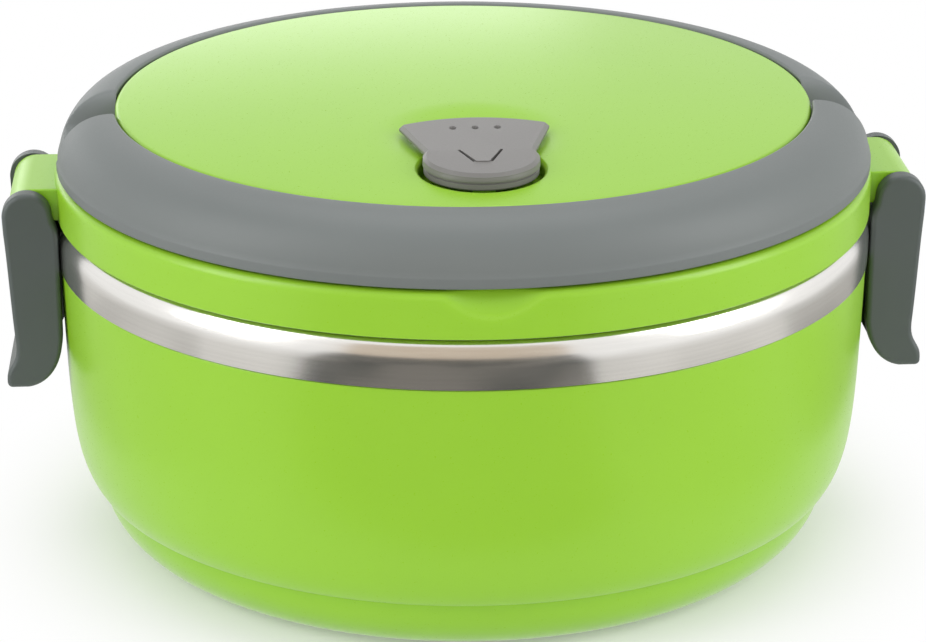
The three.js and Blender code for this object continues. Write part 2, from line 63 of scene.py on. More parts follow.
ON_PLANE = 0.001  # a point this near to a plane lies on it
SMOOTH_ANGLE = 32.0  # degrees; sharper edges stay crisp
RIM_ANGLE = 0.5  # radians; the edges of a rim are sharper
MIX_A, MIX_B, MIX_RESULT = 6, 7, 2  # colour sockets of the Mix node
WHITE = (1.0, 1.0, 1.0, 1.0)
Point = tuple[float, float]
Place = tuple[float, float, float]
Corner = tuple[float, float, float]  # two places and the radius of a round
Object = bpy.types.Object
Socket = bpy.types.NodeSocket
Tree = bpy.types.NodeTree


class Side(Enum):
    """Which side of the container a piece is on, as the sign of its x."""

    RIGHT = 1
    LEFT = -1

    def span(self, near: float, far: float) -> Point:
        """Two distances from the middle plane as places on X, the lower one first."""
        low, high = sorted((self.value * near, self.value * far))
        return low, high


class Turn(Enum):
    """Axis that a profile is turned about."""

    UPRIGHT = (0.0, 0.0, 1.0)
    ACROSS = (1.0, 0.0, 0.0)


class Cut(Enum):
    """How one solid changes another."""

    ADD = "UNION"
    REMOVE = "DIFFERENCE"


class Part(Enum):
    """Kind of mesh part, with Blender's name for selecting it."""

    VERTS = "VERT"
    EDGES = "EDGE"
    FACES = "FACE"


# Lines and curves


def arc(x: float, z: float, r: float, start: float, end: float, steps: int) -> list[Point]:
    """Points on an arc.

    Args:
        x, z: centre.
        r: radius.
        start, end: angles in degrees.
        steps: number of chords.

    Returns:
        The points from start to end.
    """
    angles = [math.radians(start + (end - start) * i / steps) for i in range(steps + 1)]
    return [(x + r * math.cos(a), z + r * math.sin(a)) for a in angles]


def bezier(a: Point, b: Point, c: Point, d: Point, steps: int) -> list[Point]:
    """Points on a cubic curve.

    Args:
        a, d: its ends.
        b, c: its handles.
        steps: number of chords.

    Returns:
        The points from a to d.
    """
    points = []
    for i in range(steps + 1):
        t = i / steps
        u = 1 - t
        weights = (u**3, 3 * u * u * t, 3 * u * t * t, t**3)
        points.append(tuple(sum(w * p[k] for w, p in zip(weights, (a, b, c, d))) for k in (0, 1)))
    return points


def rounded(corners: Sequence[Corner], steps: int = 4) -> list[Point]:
    """Open line through corners, each with its own round.

    Args:
        corners: x, z and radius of each corner; a radius of 0 leaves it sharp.
        steps: chords in each round.

    Returns:
        The points of the line.
    """
    points: list[Point] = []
    for i, (x, z, r) in enumerate(corners):
        if r <= 0 or i in (0, len(corners) - 1):
            points.append((x, z))
            continue
        here = Vector((x, z))
        before = (Vector(corners[i - 1][:2]) - here).normalized()
        after = (Vector(corners[i + 1][:2]) - here).normalized()
        half = before.angle(after) / 2
        reach = r / math.tan(half)
        centre = here + (before + after).normalized() * (r / math.sin(half))
        first, last = here + before * reach - centre, here + after * reach - centre
        for k in range(steps + 1):
            points.append(tuple(centre + first.slerp(last, k / steps).normalized() * r))
    return points


def offset(line: Sequence[Point], distance: float) -> list[Point]:
    """Line at a distance to the right of another.

    Args:
        line: the points of the first line.
        distance: how far apart the two are.

    Returns:
        The points of the second line, in the same order.
    """
    moved = []
    for i, (x, z) in enumerate(line):
        before, after = Vector(line[max(i - 1, 0)]), Vector(line[min(i + 1, len(line) - 1)])
        way = (after - before).normalized()
        moved.append((x + way.y * distance, z - way.x * distance))
    return moved


def soft_min(a: float, b: float, blend: float) -> float:
    """Lower of two heights, eased over a blend where they are close."""
    h = max(0.0, min(1.0, 0.5 + 0.5 * (b - a) / blend))
    return b + (a - b) * h - blend * h * (1 - h)


# Modelling by operators


def deselect() -> None:
    """Leaves edit mode and clears the selection."""
    if bpy.context.object and bpy.context.object.mode != "OBJECT":
        bpy.ops.object.mode_set(mode="OBJECT")
    bpy.ops.object.select_all(action="DESELECT")


def pick(piece: Object) -> None:
    """Makes a piece the active and only selected one.

    Args:
        piece: the piece.
    """
    deselect()
    bpy.context.view_layer.objects.active = piece
    piece.select_set(True)


def edit(piece: Object) -> None:
    """Opens a piece in edit mode with all of it selected.

    Args:
        piece: the piece.
    """
    pick(piece)
    bpy.ops.object.mode_set(mode="EDIT")
    bpy.ops.mesh.select_all(action="SELECT")


def select(piece: Object, kind: Part, test: Callable[[Any], bool]) -> None:
    """Opens a piece in edit mode and selects the parts of a kind that pass a test.

    Args:
        piece: the piece.
        kind: which of its parts.
        test: true for a part to select.
    """
    edit(piece)
    bpy.ops.mesh.select_mode(type=kind.value)
    bpy.ops.mesh.select_all(action="DESELECT")
    mesh = bmesh.from_edit_mesh(piece.data)
    for part in getattr(mesh, kind.name.lower()):
        part.select_set(test(part))
    bmesh.update_edit_mesh(piece.data)


def close_up() -> None:
    """Merges doubles, turns the faces of the open piece outwards and leaves edit mode."""
    bpy.ops.mesh.select_all(action="SELECT")
    bpy.ops.mesh.remove_doubles(threshold=WELD * MM)
    bpy.ops.mesh.normals_make_consistent(inside=False)
    bpy.ops.object.mode_set(mode="OBJECT")


def push(way: Vector) -> None:
    """Extrudes the selection of the open piece by a way in millimetres."""
    bpy.ops.mesh.extrude_region_move(TRANSFORM_OT_translate={"value": way * MM})


def draw_line(name: str, points: Sequence[Vector]) -> Object:
    """Draws a line point by point and leaves it open in edit mode.

    Args:
        name: name of the new piece.
        points: its points, in millimetres.

    Returns:
        The new piece.
    """
    deselect()
    bpy.ops.mesh.primitive_plane_add(size=MM, location=points[0] * MM)
    bpy.ops.object.transform_apply(location=True, rotation=True, scale=True)
    piece = bpy.context.object
    piece.name = name
    bpy.ops.object.mode_set(mode="EDIT")
    bpy.ops.mesh.select_mode(type="VERT")
    bpy.ops.mesh.select_all(action="SELECT")
    bpy.ops.mesh.merge(type="CENTER")
    for a, b in zip(points, points[1:]):
        push(b - a)
    bpy.ops.mesh.select_all(action="SELECT")
    return piece


def lathe(
    name: str,
    profile: Sequence[Point],
    runs: Sequence[tuple[float, int]] = ((360.0, 160),),
    turn: Turn = Turn.UPRIGHT,
    centre: Vector = Vector(),
    start: float = 0.0,
    solid: bool = False,
) -> Object:
    """Turns a profile about an axis.

    Args:
        name: name of the new piece.
        profile: distance from the axis and place along it, in millimetres.
        runs: degrees and steps of each stretch of the turn, clockwise from above.
        turn: the axis.
        centre: a point of the axis, in millimetres.
        start: degrees, clockwise from +X, where the turn begins.
        solid: fills the profile, for a part turn with closed ends.

    Returns:
        The new piece.
    """
    if turn is Turn.ACROSS:
        points = [centre + Vector((along, 0, r)) for r, along in profile]
    else:
        where = Matrix.Rotation(math.radians(-start), 3, "Z")
        points = [centre + where @ Vector((r, 0, along)) for r, along in profile]
    piece = draw_line(name, points)
    if solid:
        bpy.ops.mesh.edge_face_add()
    for angle, steps in runs:
        bpy.ops.mesh.spin(steps=steps, angle=math.radians(angle), center=centre * MM, axis=turn.value)
    close_up()
    return piece


def bar(name: str, outline: Sequence[Point], ends: Point, axis: str) -> Object:
    """Carries an outline along an axis between two places.

    Args:
        name: name of the new piece.
        outline: its corners, across the axis: y and z along "X", x and z along "Y", x and y along "Z".
        ends: the two places on the axis, in millimetres.
        axis: "X", "Y" or "Z".

    Returns:
        The new piece, with sharp edges.
    """
    low, high = ends
    k = "XYZ".index(axis)
    way = Vector([float(letter == axis) for letter in "XYZ"]) * (high - low)
    piece = draw_line(name, [Vector((*p[:k], low, *p[k:])) for p in outline])
    bpy.ops.mesh.edge_face_add()
    push(way)
    close_up()
    return piece


def rod(name: str, r: float, ends: Point, axis: str, at: Point, sides: int = 32) -> Object:
    """A round bar along an axis; at gives its centre across the axis, as in bar()."""
    ring = arc(at[0], at[1], r, 0, 360 - 360 / sides, sides - 1)
    return bar(name, ring, ends, axis)


def round_rims(piece: Object, axis: str, places: Sequence[float], width: float, steps: int = 3) -> None:
    """Rounds the sharp edges of a piece that lie on planes across an axis.

    Args:
        piece: the piece.
        axis: "X", "Y" or "Z".
        places: where the planes are on the axis, in millimetres.
        width: how far the round reaches from the edge.
        steps: its segments.
    """
    k = "XYZ".index(axis)

    def on_rim(edge: bmesh.types.BMEdge) -> bool:
        """True for a sharp edge on one of the planes."""
        sharp = len(edge.link_faces) == 2 and edge.calc_face_angle() >= RIM_ANGLE
        return sharp and any(all(abs(v.co[k] / MM - p) < ON_PLANE for v in edge.verts) for p in places)

    select(piece, Part.EDGES, on_rim)
    bpy.ops.mesh.bevel(offset=width * MM, segments=steps, profile=0.5, affect="EDGES")
    close_up()


def cut_across(piece: Object, y: float, **options: bool) -> None:
    """Cuts a piece along a plane across Y.

    Args:
        piece: the piece.
        y: where the plane is, in millimetres.
        options: those of bisect, for what is cleared and what is filled.
    """
    edit(piece)
    bpy.ops.mesh.bisect(plane_co=(0, y * MM, 0), plane_no=(0, 1, 0), threshold=WELD * MM, **options)
    close_up()


def change(piece: Object, how: Cut, *others: Object) -> None:
    """Adds solids to a piece or cuts them from it, and deletes them.

    Args:
        piece: the piece.
        how: whether they are added or cut away.
        others: the solids.
    """
    for other in others:
        pick(piece)
        modifier = piece.modifiers.new("cut", "BOOLEAN")
        modifier.solver = "MANIFOLD"
        modifier.operation = how.value
        modifier.object = other
        bpy.ops.object.modifier_apply(modifier=modifier.name)
        bpy.data.meshes.remove(other.data)


def copy_of(piece: Object, name: str) -> Object:
    """A copy of a piece with its own mesh, its points turned to the other side of the container.

    Args:
        piece: the piece.
        name: name of the copy.

    Returns:
        The copy.
    """
    twin = piece.copy()
    twin.data = piece.data.copy()
    twin.name = name
    twin.data.transform(Matrix.Rotation(math.pi, 4, "Z"))
    bpy.context.collection.objects.link(twin)
    return twin


# Finishes


def linear(code: str) -> tuple[float, float, float, float]:
    """Linear colour of an sRGB hex value.

    Args:
        code: the value, as "#RRGGBB".

    Returns:
        Red, green, blue and an alpha of 1.
    """
    channels = [int(code[i : i + 2], 16) / 255 for i in (1, 3, 5)]
    made = [c / 12.92 if c <= 0.04045 else ((c + 0.055) / 1.055) ** 2.4 for c in channels]
    return (*made, 1.0)


def add_node(
    tree: Tree,
    kind: str,
    inputs: dict[Any, Any] | None = None,
    links: dict[Any, Socket] | None = None,
    **settings: Any,
) -> bpy.types.Node:
    """Adds a shader node with its settings, input values and links.

    Args:
        tree: the node tree.
        kind: the node's type name, after "ShaderNode".
        inputs: values by input name or number.
        links: sockets to link from, by input name or number.
        settings: the node's own properties.

    Returns:
        The new node.
    """
    node = tree.nodes.new(f"ShaderNode{kind}")
    for name, value in settings.items():
        setattr(node, name, value)
    for key, value in (inputs or {}).items():
        node.inputs[key].default_value = value
    for key, socket in (links or {}).items():
        tree.links.new(socket, node.inputs[key])
    return node


def new_material(name: str) -> tuple[bpy.types.Material, Tree, Socket]:
    """Starts a node material on the object's own coordinates.

    Args:
        name: name of the material.

    Returns:
        The material, its node tree and the socket of the coordinates.
    """
    material = bpy.data.materials.new(name)
    material.use_nodes = True
    material.node_tree.nodes.clear()
    place = add_node(material.node_tree, "TexCoord").outputs["Object"]
    return material, material.node_tree, place


@dataclass(frozen=True)
class Finish:
    """What all finishes share: a colour that drifts to a second one, an uneven gloss and a fine relief."""

    name: str
    colour: str
    second: str
    rough: float
    smoother: float = 0.03  # gloss swings this far below rough
    rougher: float = 0.03  # and this far above it
    depth: float = 0.004  # mm of relief
    strength: float = 0.4  # share of the relief that shows
    metallic: float = 0.0
    ior: float = 1.49

    def patterns(self, tree: Tree, place: Socket) -> tuple[Socket, Socket, Socket]:
        """Adds the patterns of the colour's drift, the gloss and the relief, and returns their sockets."""
        raise NotImplementedError

    def material(self) -> bpy.types.Material:
        """Builds the node material.

        Returns:
            The material.
        """
        material, tree, place = new_material(self.name)
        drift, gloss, relief = self.patterns(tree, place)
        ends = {MIX_A: linear(self.colour), MIX_B: linear(self.second)}
        colour = add_node(tree, "Mix", ends, {0: drift}, data_type="RGBA")
        swing = {"To Min": self.rough - self.smoother, "To Max": self.rough + self.rougher}
        rough = add_node(tree, "MapRange", {"From Min": 0.3, "From Max": 0.7, **swing}, {"Value": gloss})
        height = {"Strength": self.strength, "Distance": self.depth * MM}
        bump = add_node(tree, "Bump", height, {"Height": relief})
        shader = add_node(
            tree,
            "BsdfPrincipled",
            {"IOR": self.ior, "Metallic": self.metallic},
            {
                "Base Color": colour.outputs[MIX_RESULT],
                "Roughness": rough.outputs["Result"],
                "Normal": bump.outputs["Normal"],
            },
        )
        add_node(tree, "OutputMaterial", links={"Surface": shader.outputs["BSDF"]})
        return material


@dataclass(frozen=True)
class MouldedPlastic(Finish):
    """Injection-moulded plastic: even colour, a faint mottle from the flow and a fine eroded grain."""

    grain: float = 0.35  # mm; drawn coarser than the real 0.05 mm so that it shows
    flow: float = 28.0  # mm between flow marks

    def patterns(self, tree: Tree, place: Socket) -> tuple[Socket, Socket, Socket]:
        """Flow marks for the colour, grain for the gloss and the relief.

        Args:
            tree: the material's node tree.
            place: the socket of the object's own coordinates.

        Returns:
            The sockets of the colour's drift, the gloss and the relief.
        """
        wide = {"Scale": 1 / (self.flow * MM), "Detail": 2.0, "Roughness": 0.45}
        fine = {"Scale": 1 / (self.grain * MM), "Detail": 3.0, "Roughness": 0.6}
        flow = add_node(tree, "TexNoise", wide, {"Vector": place}).outputs["Fac"]
        grain = add_node(tree, "TexNoise", fine, {"Vector": place}).outputs["Fac"]
        return flow, grain, grain


@dataclass(frozen=True)
class SpunSteel(Finish):
    """Stainless sheet, spun and polished: a bright mirror softened by fine rings round the axis."""

    rougher: float = 0.05
    depth: float = 0.0012
    strength: float = 0.5
    metallic: float = 1.0
    ior: float = 1.5  # the shader's own, which a metal keeps
    ring: float = 0.5  # mm; real polishing rings are finer, drawn so that they show
    cloud: float = 14.0  # mm between duller patches

    def patterns(self, tree: Tree, place: Socket) -> tuple[Socket, Socket, Socket]:
        """Rings for the colour and the relief, clouds for the gloss.

        Args:
            tree: the material's node tree.
            place: the socket of the object's own coordinates.

        Returns:
            The sockets of the colour's drift, the gloss and the relief.
        """
        parts = add_node(tree, "SeparateXYZ", links={0: place}).outputs
        flat = add_node(tree, "CombineXYZ", links={0: parts[0], 1: parts[1]})
        radius = add_node(tree, "VectorMath", links={0: flat.outputs[0]}, operation="LENGTH")
        section = add_node(tree, "CombineXYZ", links={0: radius.outputs["Value"], 1: parts[2]})
        fine = {"Scale": 1 / (self.ring * MM), "Detail": 4.0, "Roughness": 0.7}
        rings = add_node(tree, "TexNoise", fine, {"Vector": section.outputs[0]}, noise_dimensions="2D")
        wide = {"Scale": 1 / (self.cloud * MM), "Detail": 2.0}
        cloud = add_node(tree, "TexNoise", wide, {"Vector": place})
        return rings.outputs["Fac"], cloud.outputs["Fac"], rings.outputs["Fac"]


# By slot, each with what it gives the eye
FINISHES: dict[str, Finish] = {
    # bright lime that pales to a soft sheen where it turns away from the eye
    "shell_plastic": MouldedPlastic("polypropylene_lime", "#92C62C", "#8EC229", 0.3),
    # mid grey with a broad dull highlight along the ring's crown
    "handle_plastic": MouldedPlastic("abs_mid_grey", "#6C7170", "#686D6C", 0.5),
    # darker, faintly green grey, with a thin lighter line along the rounded edges
    "clip_plastic": MouldedPlastic("abs_dark_grey", "#4E5553", "#4B5250", 0.42),
    # warm grey that sets the valve off from the lid and the handle
    "valve_plastic": MouldedPlastic("abs_warm_grey", "#767472", "#72706E", 0.42),
    # milky white, seen when the lid is off
    "inner_plastic": MouldedPlastic("polypropylene_natural", "#E4E6E0", "#DFE2DB", 0.42),
    # dull soft white with a coarser, shallower skin than the plastics
    "silicone": MouldedPlastic(
        "cast_silicone", "#D9DCD7", "#D3D7D2", 0.58, depth=0.002, ior=1.41, grain=0.8
    ),
    # bright band that mirrors the floor and the cards' painted grey reflections, blurred along its rings
    "stainless": SpunSteel("stainless_spun_polished", "#EFEDE9", "#E3E1DD", 0.19),
}


class Finishes:
    """The materials of the container, each built once, by the slot that it stands for."""

    def __init__(self) -> None:
        """Builds every finish."""
        self.made = {slot: finish.material() for slot, finish in FINISHES.items()}

    def dress(self, piece: Object, slot: str) -> None:
        """Puts a slot's material on a piece as its only one."""
        piece.data.materials.clear()
        piece.data.materials.append(self.made[slot])

    def seat(self, piece: Object, slot: str, body: str, node: str) -> None:
        """Smooths a finished piece, dresses it and lets it stand for a node of the frame.

        Args:
            piece: the piece, with its place in its mesh.
            slot: the material slot.
            body: the body that it rides on.
            node: the node that it replaces.
        """
        pick(piece)
        bpy.ops.object.shade_smooth_by_angle(angle=math.radians(SMOOTH_ANGLE))
        weighted = piece.modifiers.new("even_shading", "WEIGHTED_NORMAL")
        weighted.keep_sharp = True
        bpy.ops.object.modifier_apply(modifier=weighted.name)
        self.dress(piece, slot)
        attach(piece, body)
        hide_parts(node)
        mesh = bmesh.new()
        mesh.from_mesh(piece.data)
        loose = sum(not edge.is_manifold for edge in mesh.edges)
        faces = sum(len(face.verts) - 2 for face in mesh.faces)
        volume = mesh.calc_volume(signed=True) / MM**3
        mesh.free()
        LOG.info("%s: %d triangles, %d open edges, %.0f cubic mm", piece.name, faces, loose, volume)


# The container


def edge_of(node: str, way: str) -> float:
    """Where a node of the frame ends, in millimetres; way is "+X", "-Y" and so on."""
    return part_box(node)["-+".index(way[0])]["XYZ".index(way[1])] / MM


def middle_of(node: str, axes: str) -> Point:
    """Middle of a node of the frame on two axes, to a thousandth of a millimetre."""
    a, b = (round((edge_of(node, f"-{axis}") + edge_of(node, f"+{axis}")) / 2, 3) for axis in axes)
    return a, b


@dataclass(frozen=True)
class Levels:
    """Radii, heights and pins that the pieces share, in millimetres."""

    body_r: float
    lip_z: float
    band_r: float
    rim_z: float
    bowl_z: float
    skirt_r: float
    ring_r: float
    ring_z: float
    ring_top: float
    trim_z: float
    valve_top: float
    valve_front: float
    clip_pin: Point  # x and z of the right one
    handle_pin: Point  # y and z
    valve_pin: Point  # y and z

    @classmethod
    def read(cls) -> Levels:
        """Measures the nodes of the frame.

        Returns:
            The levels.
        """
        return cls(
            body_r=edge_of("outer_shell", "+X"),
            lip_z=edge_of("outer_shell", "+Z"),
            band_r=edge_of("steel_liner", "+X"),
            rim_z=edge_of("steel_liner", "+Z"),
            bowl_z=edge_of("steel_liner", "-Z"),
            skirt_r=-edge_of("lid_cover", "-Y"),
            ring_r=-edge_of("carry_handle", "-Y"),
            ring_z=edge_of("carry_handle", "-Z"),
            ring_top=edge_of("carry_handle", "+Z"),
            trim_z=edge_of("rear_trim", "-Z"),
            valve_top=edge_of("valve_lever", "+Z"),
            valve_front=edge_of("valve_lever", "-Y"),
            clip_pin=middle_of("clip_pin_right", "XZ"),
            handle_pin=middle_of("handle_pin_right", "YZ"),
            valve_pin=middle_of("valve_pin", "YZ"),
        )


@dataclass
class Base:
    """Plastic shell, steel liner with its rolled rim, and the catches riveted to it."""

    at: Levels
    finishes: Finishes
    shell_wall: float = 2.2
    shell_h: float = 53.1
    foot_round: float = 10.6
    foot_inset: float = 6.1
    crease_rise: float = 1.0  # crease above the foot's round
    crease_step: float = 1.6
    swell: float = 3.7  # how far the wall leans out above the crease
    bow: float = 0.7  # how far it draws in below its upper edge
    recess_r: float = 46.0
    recess_h: float = 1.2
    sheet: float = 0.8
    band_z: float = 53.4
    lip_step: float = 57.0
    lip_inset: float = 0.7
    band_rise: float = 0.65  # the band's crown above the CAD's rim
    rim_round: float = 2.0
    air_gap: float = 2.5
    bowl_taper: float = 3.5
    bowl_round: float = 14.0
    catch_w: float = 17.2
    catch_h: float = 6.6
    catch_rise: float = 0.4
    catch_out: float = 1.4
    catch_lip: float = 1.0
    catch_round: float = 0.12
    rivet_r: float = 0.9
    rivet_head_r: float = 1.4
    rivet_head: float = 0.7
    rivet_spread: float = 5.2
    rivet_rise: float = 3.0
    hole_in: float = 3.5  # from the shell's outside to the ends of the rivets' holes
    hole_out: float = 6.0
    fit: float = 0.3

    def build(self) -> None:
        """Builds and dresses the pieces that stay on the base."""
        self.finishes.seat(self.shell(), "shell_plastic", "base", "outer_shell")
        self.finishes.seat(self.liner(), "stainless", "base", "steel_liner")
        right = self.catch()
        left = copy_of(right, "catch_plate_left")
        self.finishes.seat(right, "clip_plastic", "base", "catch_right")
        self.finishes.seat(left, "clip_plastic", "base", "catch_left")
        self.rivets()

    def rivet_holes(self) -> list[Object]:
        """Round bars where the rivets pass through the band and the shell's lip.

        Returns:
            The four bars, to be cut away.
        """
        r, z = self.rivet_r + self.fit, self.band_z + self.rivet_rise
        reach = (self.at.body_r - self.hole_in, self.at.body_r + self.hole_out)
        spread = (-self.rivet_spread, self.rivet_spread)
        return [rod("hole", r, side.span(*reach), "X", (y, z)) for side in Side for y in spread]

    def shell(self) -> Object:
        """Turned shell: hollow base, rounded foot, ring crease, swelling wall and inner lip.

        Returns:
            The shell.
        """
        r, wall, top = self.at.body_r, self.shell_wall, self.shell_h
        foot = r - self.foot_inset
        centre = foot - self.foot_round
        crease = self.foot_round + self.crease_rise
        start = foot + self.crease_step
        lean = start + self.swell
        low, high = crease + 0.09 * top, crease + 0.34 * (top - crease)
        inner, floor = r - wall, self.recess_h + wall
        lip = self.at.band_r - self.sheet - self.fit
        lip_top = lip - self.lip_inset
        recess = [
            (0, self.recess_h, 0), (self.recess_r, self.recess_h, 0.8),
            (self.recess_r + self.recess_h, 0, 0.5), (centre, 0, 0),
        ]
        profile = [
            *rounded(recess),
            *arc(centre, self.foot_round, self.foot_round, -90, 0, 16)[1:],
            (foot + 0.05, crease - 0.5), (foot + 0.4, crease - 0.25), (start - 0.35, crease - 0.2),
            *bezier((start, crease), (lean, low), (r - self.bow, high), (r, top - 0.3), 28),
            (r - 0.1, top - 0.1), (r - 0.3, top), (lip, top), (lip, self.lip_step),
            (lip_top, self.lip_step + 0.8), (lip_top, self.at.lip_z), (inner, self.at.lip_z),
            *bezier((inner, top), (inner - self.bow, high), (lean - wall, low), (start - wall, crease), 10),
            *arc(centre, crease, crease - floor, 0, -90, 6),
            (0, floor),
        ]
        piece = lathe("shell", profile)
        change(piece, Cut.REMOVE, *self.rivet_holes())
        return piece

    def liner(self) -> Object:
        """Turned steel bowl whose rim rolls out and down as a softly bowed band.

        Returns:
            The liner.
        """
        full, rim, foot = self.at.band_r, self.at.rim_z, self.band_z
        mouth = self.at.body_r - self.shell_wall - self.air_gap - self.sheet
        low, floor = mouth - self.bowl_taper, self.at.bowl_z + self.sheet
        top, crown = mouth + self.rim_round, rim + self.band_rise
        waist = foot + 0.45 * (crown - foot)
        sheet = [
            (0, floor),
            *arc(low - self.bowl_round, floor + self.bowl_round, self.bowl_round, -90, 0, 16),
            *arc(top, rim - self.rim_round, self.rim_round, 180, 90, 8),
            *bezier((top + 0.1, rim), (top + 0.7, rim), (top + 0.9, crown), (top + 1.6, crown), 6),
            *bezier((full - 1.9, crown), (full - 0.8, crown), (full, waist + 2.6), (full, waist), 20),
            *bezier((full, waist), (full, waist - 1.2), (full, foot + 1), (full - 0.04, foot - 0.1), 6)[1:],
        ]
        piece = lathe("liner", [*sheet, *reversed(offset(sheet, self.sheet))], ((360.0, 192),))
        change(piece, Cut.REMOVE, *self.rivet_holes())
        return piece

    def catch(self) -> Object:
        """Catch of the right side: a plate that follows the band, with a lip along its lower edge.

        Returns:
            The right catch.
        """
        back, face = self.at.band_r + self.fit, self.at.band_r + self.catch_out
        root, lip = back - 3, face + self.catch_lip
        low = self.band_z + self.catch_rise
        top = low + self.catch_h
        corners = [
            (root, low, 0), (lip, low, 0.25), (lip, low + 0.6, 0.15), (face, low + 0.9, 0.15),
            (face, top - 1, 0.3), (face - 0.8, top, 0.3), (root, top, 0),
        ]
        ends = (-self.catch_w / 2, self.catch_w / 2)
        piece = bar("catch_plate_right", rounded(corners), ends, "Y")
        round_rims(piece, "Y", ends, self.catch_round)
        band = [(0, low - 2), (back, low - 2), (back, top + 2), (0, top + 2)]
        change(piece, Cut.REMOVE, lathe("band", band, ((360.0, 256),)), *self.rivet_holes())
        return piece

    def rivets(self) -> None:
        """Rivets with domed heads, from outside each catch to inside the shell's lip."""
        head, rise, shank = self.rivet_head_r, self.rivet_head, self.rivet_r
        hole_r, aside = self.at.body_r - self.shell_wall, self.rivet_spread + head
        outer = self.at.band_r + self.catch_out + self.fit
        inner = math.sqrt(hole_r**2 - aside**2) - self.fit
        tip = outer + rise
        profile = [
            (0, inner - rise), (head - 0.2, inner - rise), (head, inner - rise + 0.2),
            (head, inner), (shank, inner), (shank, outer), (head, outer),
            *bezier((head, outer + 0.25 * rise), (head, outer + 0.8 * rise), (0.6 * head, tip), (0, tip), 6),
        ]
        z = self.band_z + self.rivet_rise
        for y, end, other in ((-self.rivet_spread, "front", "rear"), (self.rivet_spread, "rear", "front")):
            right = lathe(f"rivet_right_{end}", profile, ((360.0, 24),), Turn.ACROSS, Vector((0, y, z)))
            left = copy_of(right, f"rivet_left_{other}")
            self.finishes.seat(right, "stainless", "base", f"catch_rivet_right_{end}")
            self.finishes.seat(left, "stainless", "base", f"catch_rivet_left_{other}")


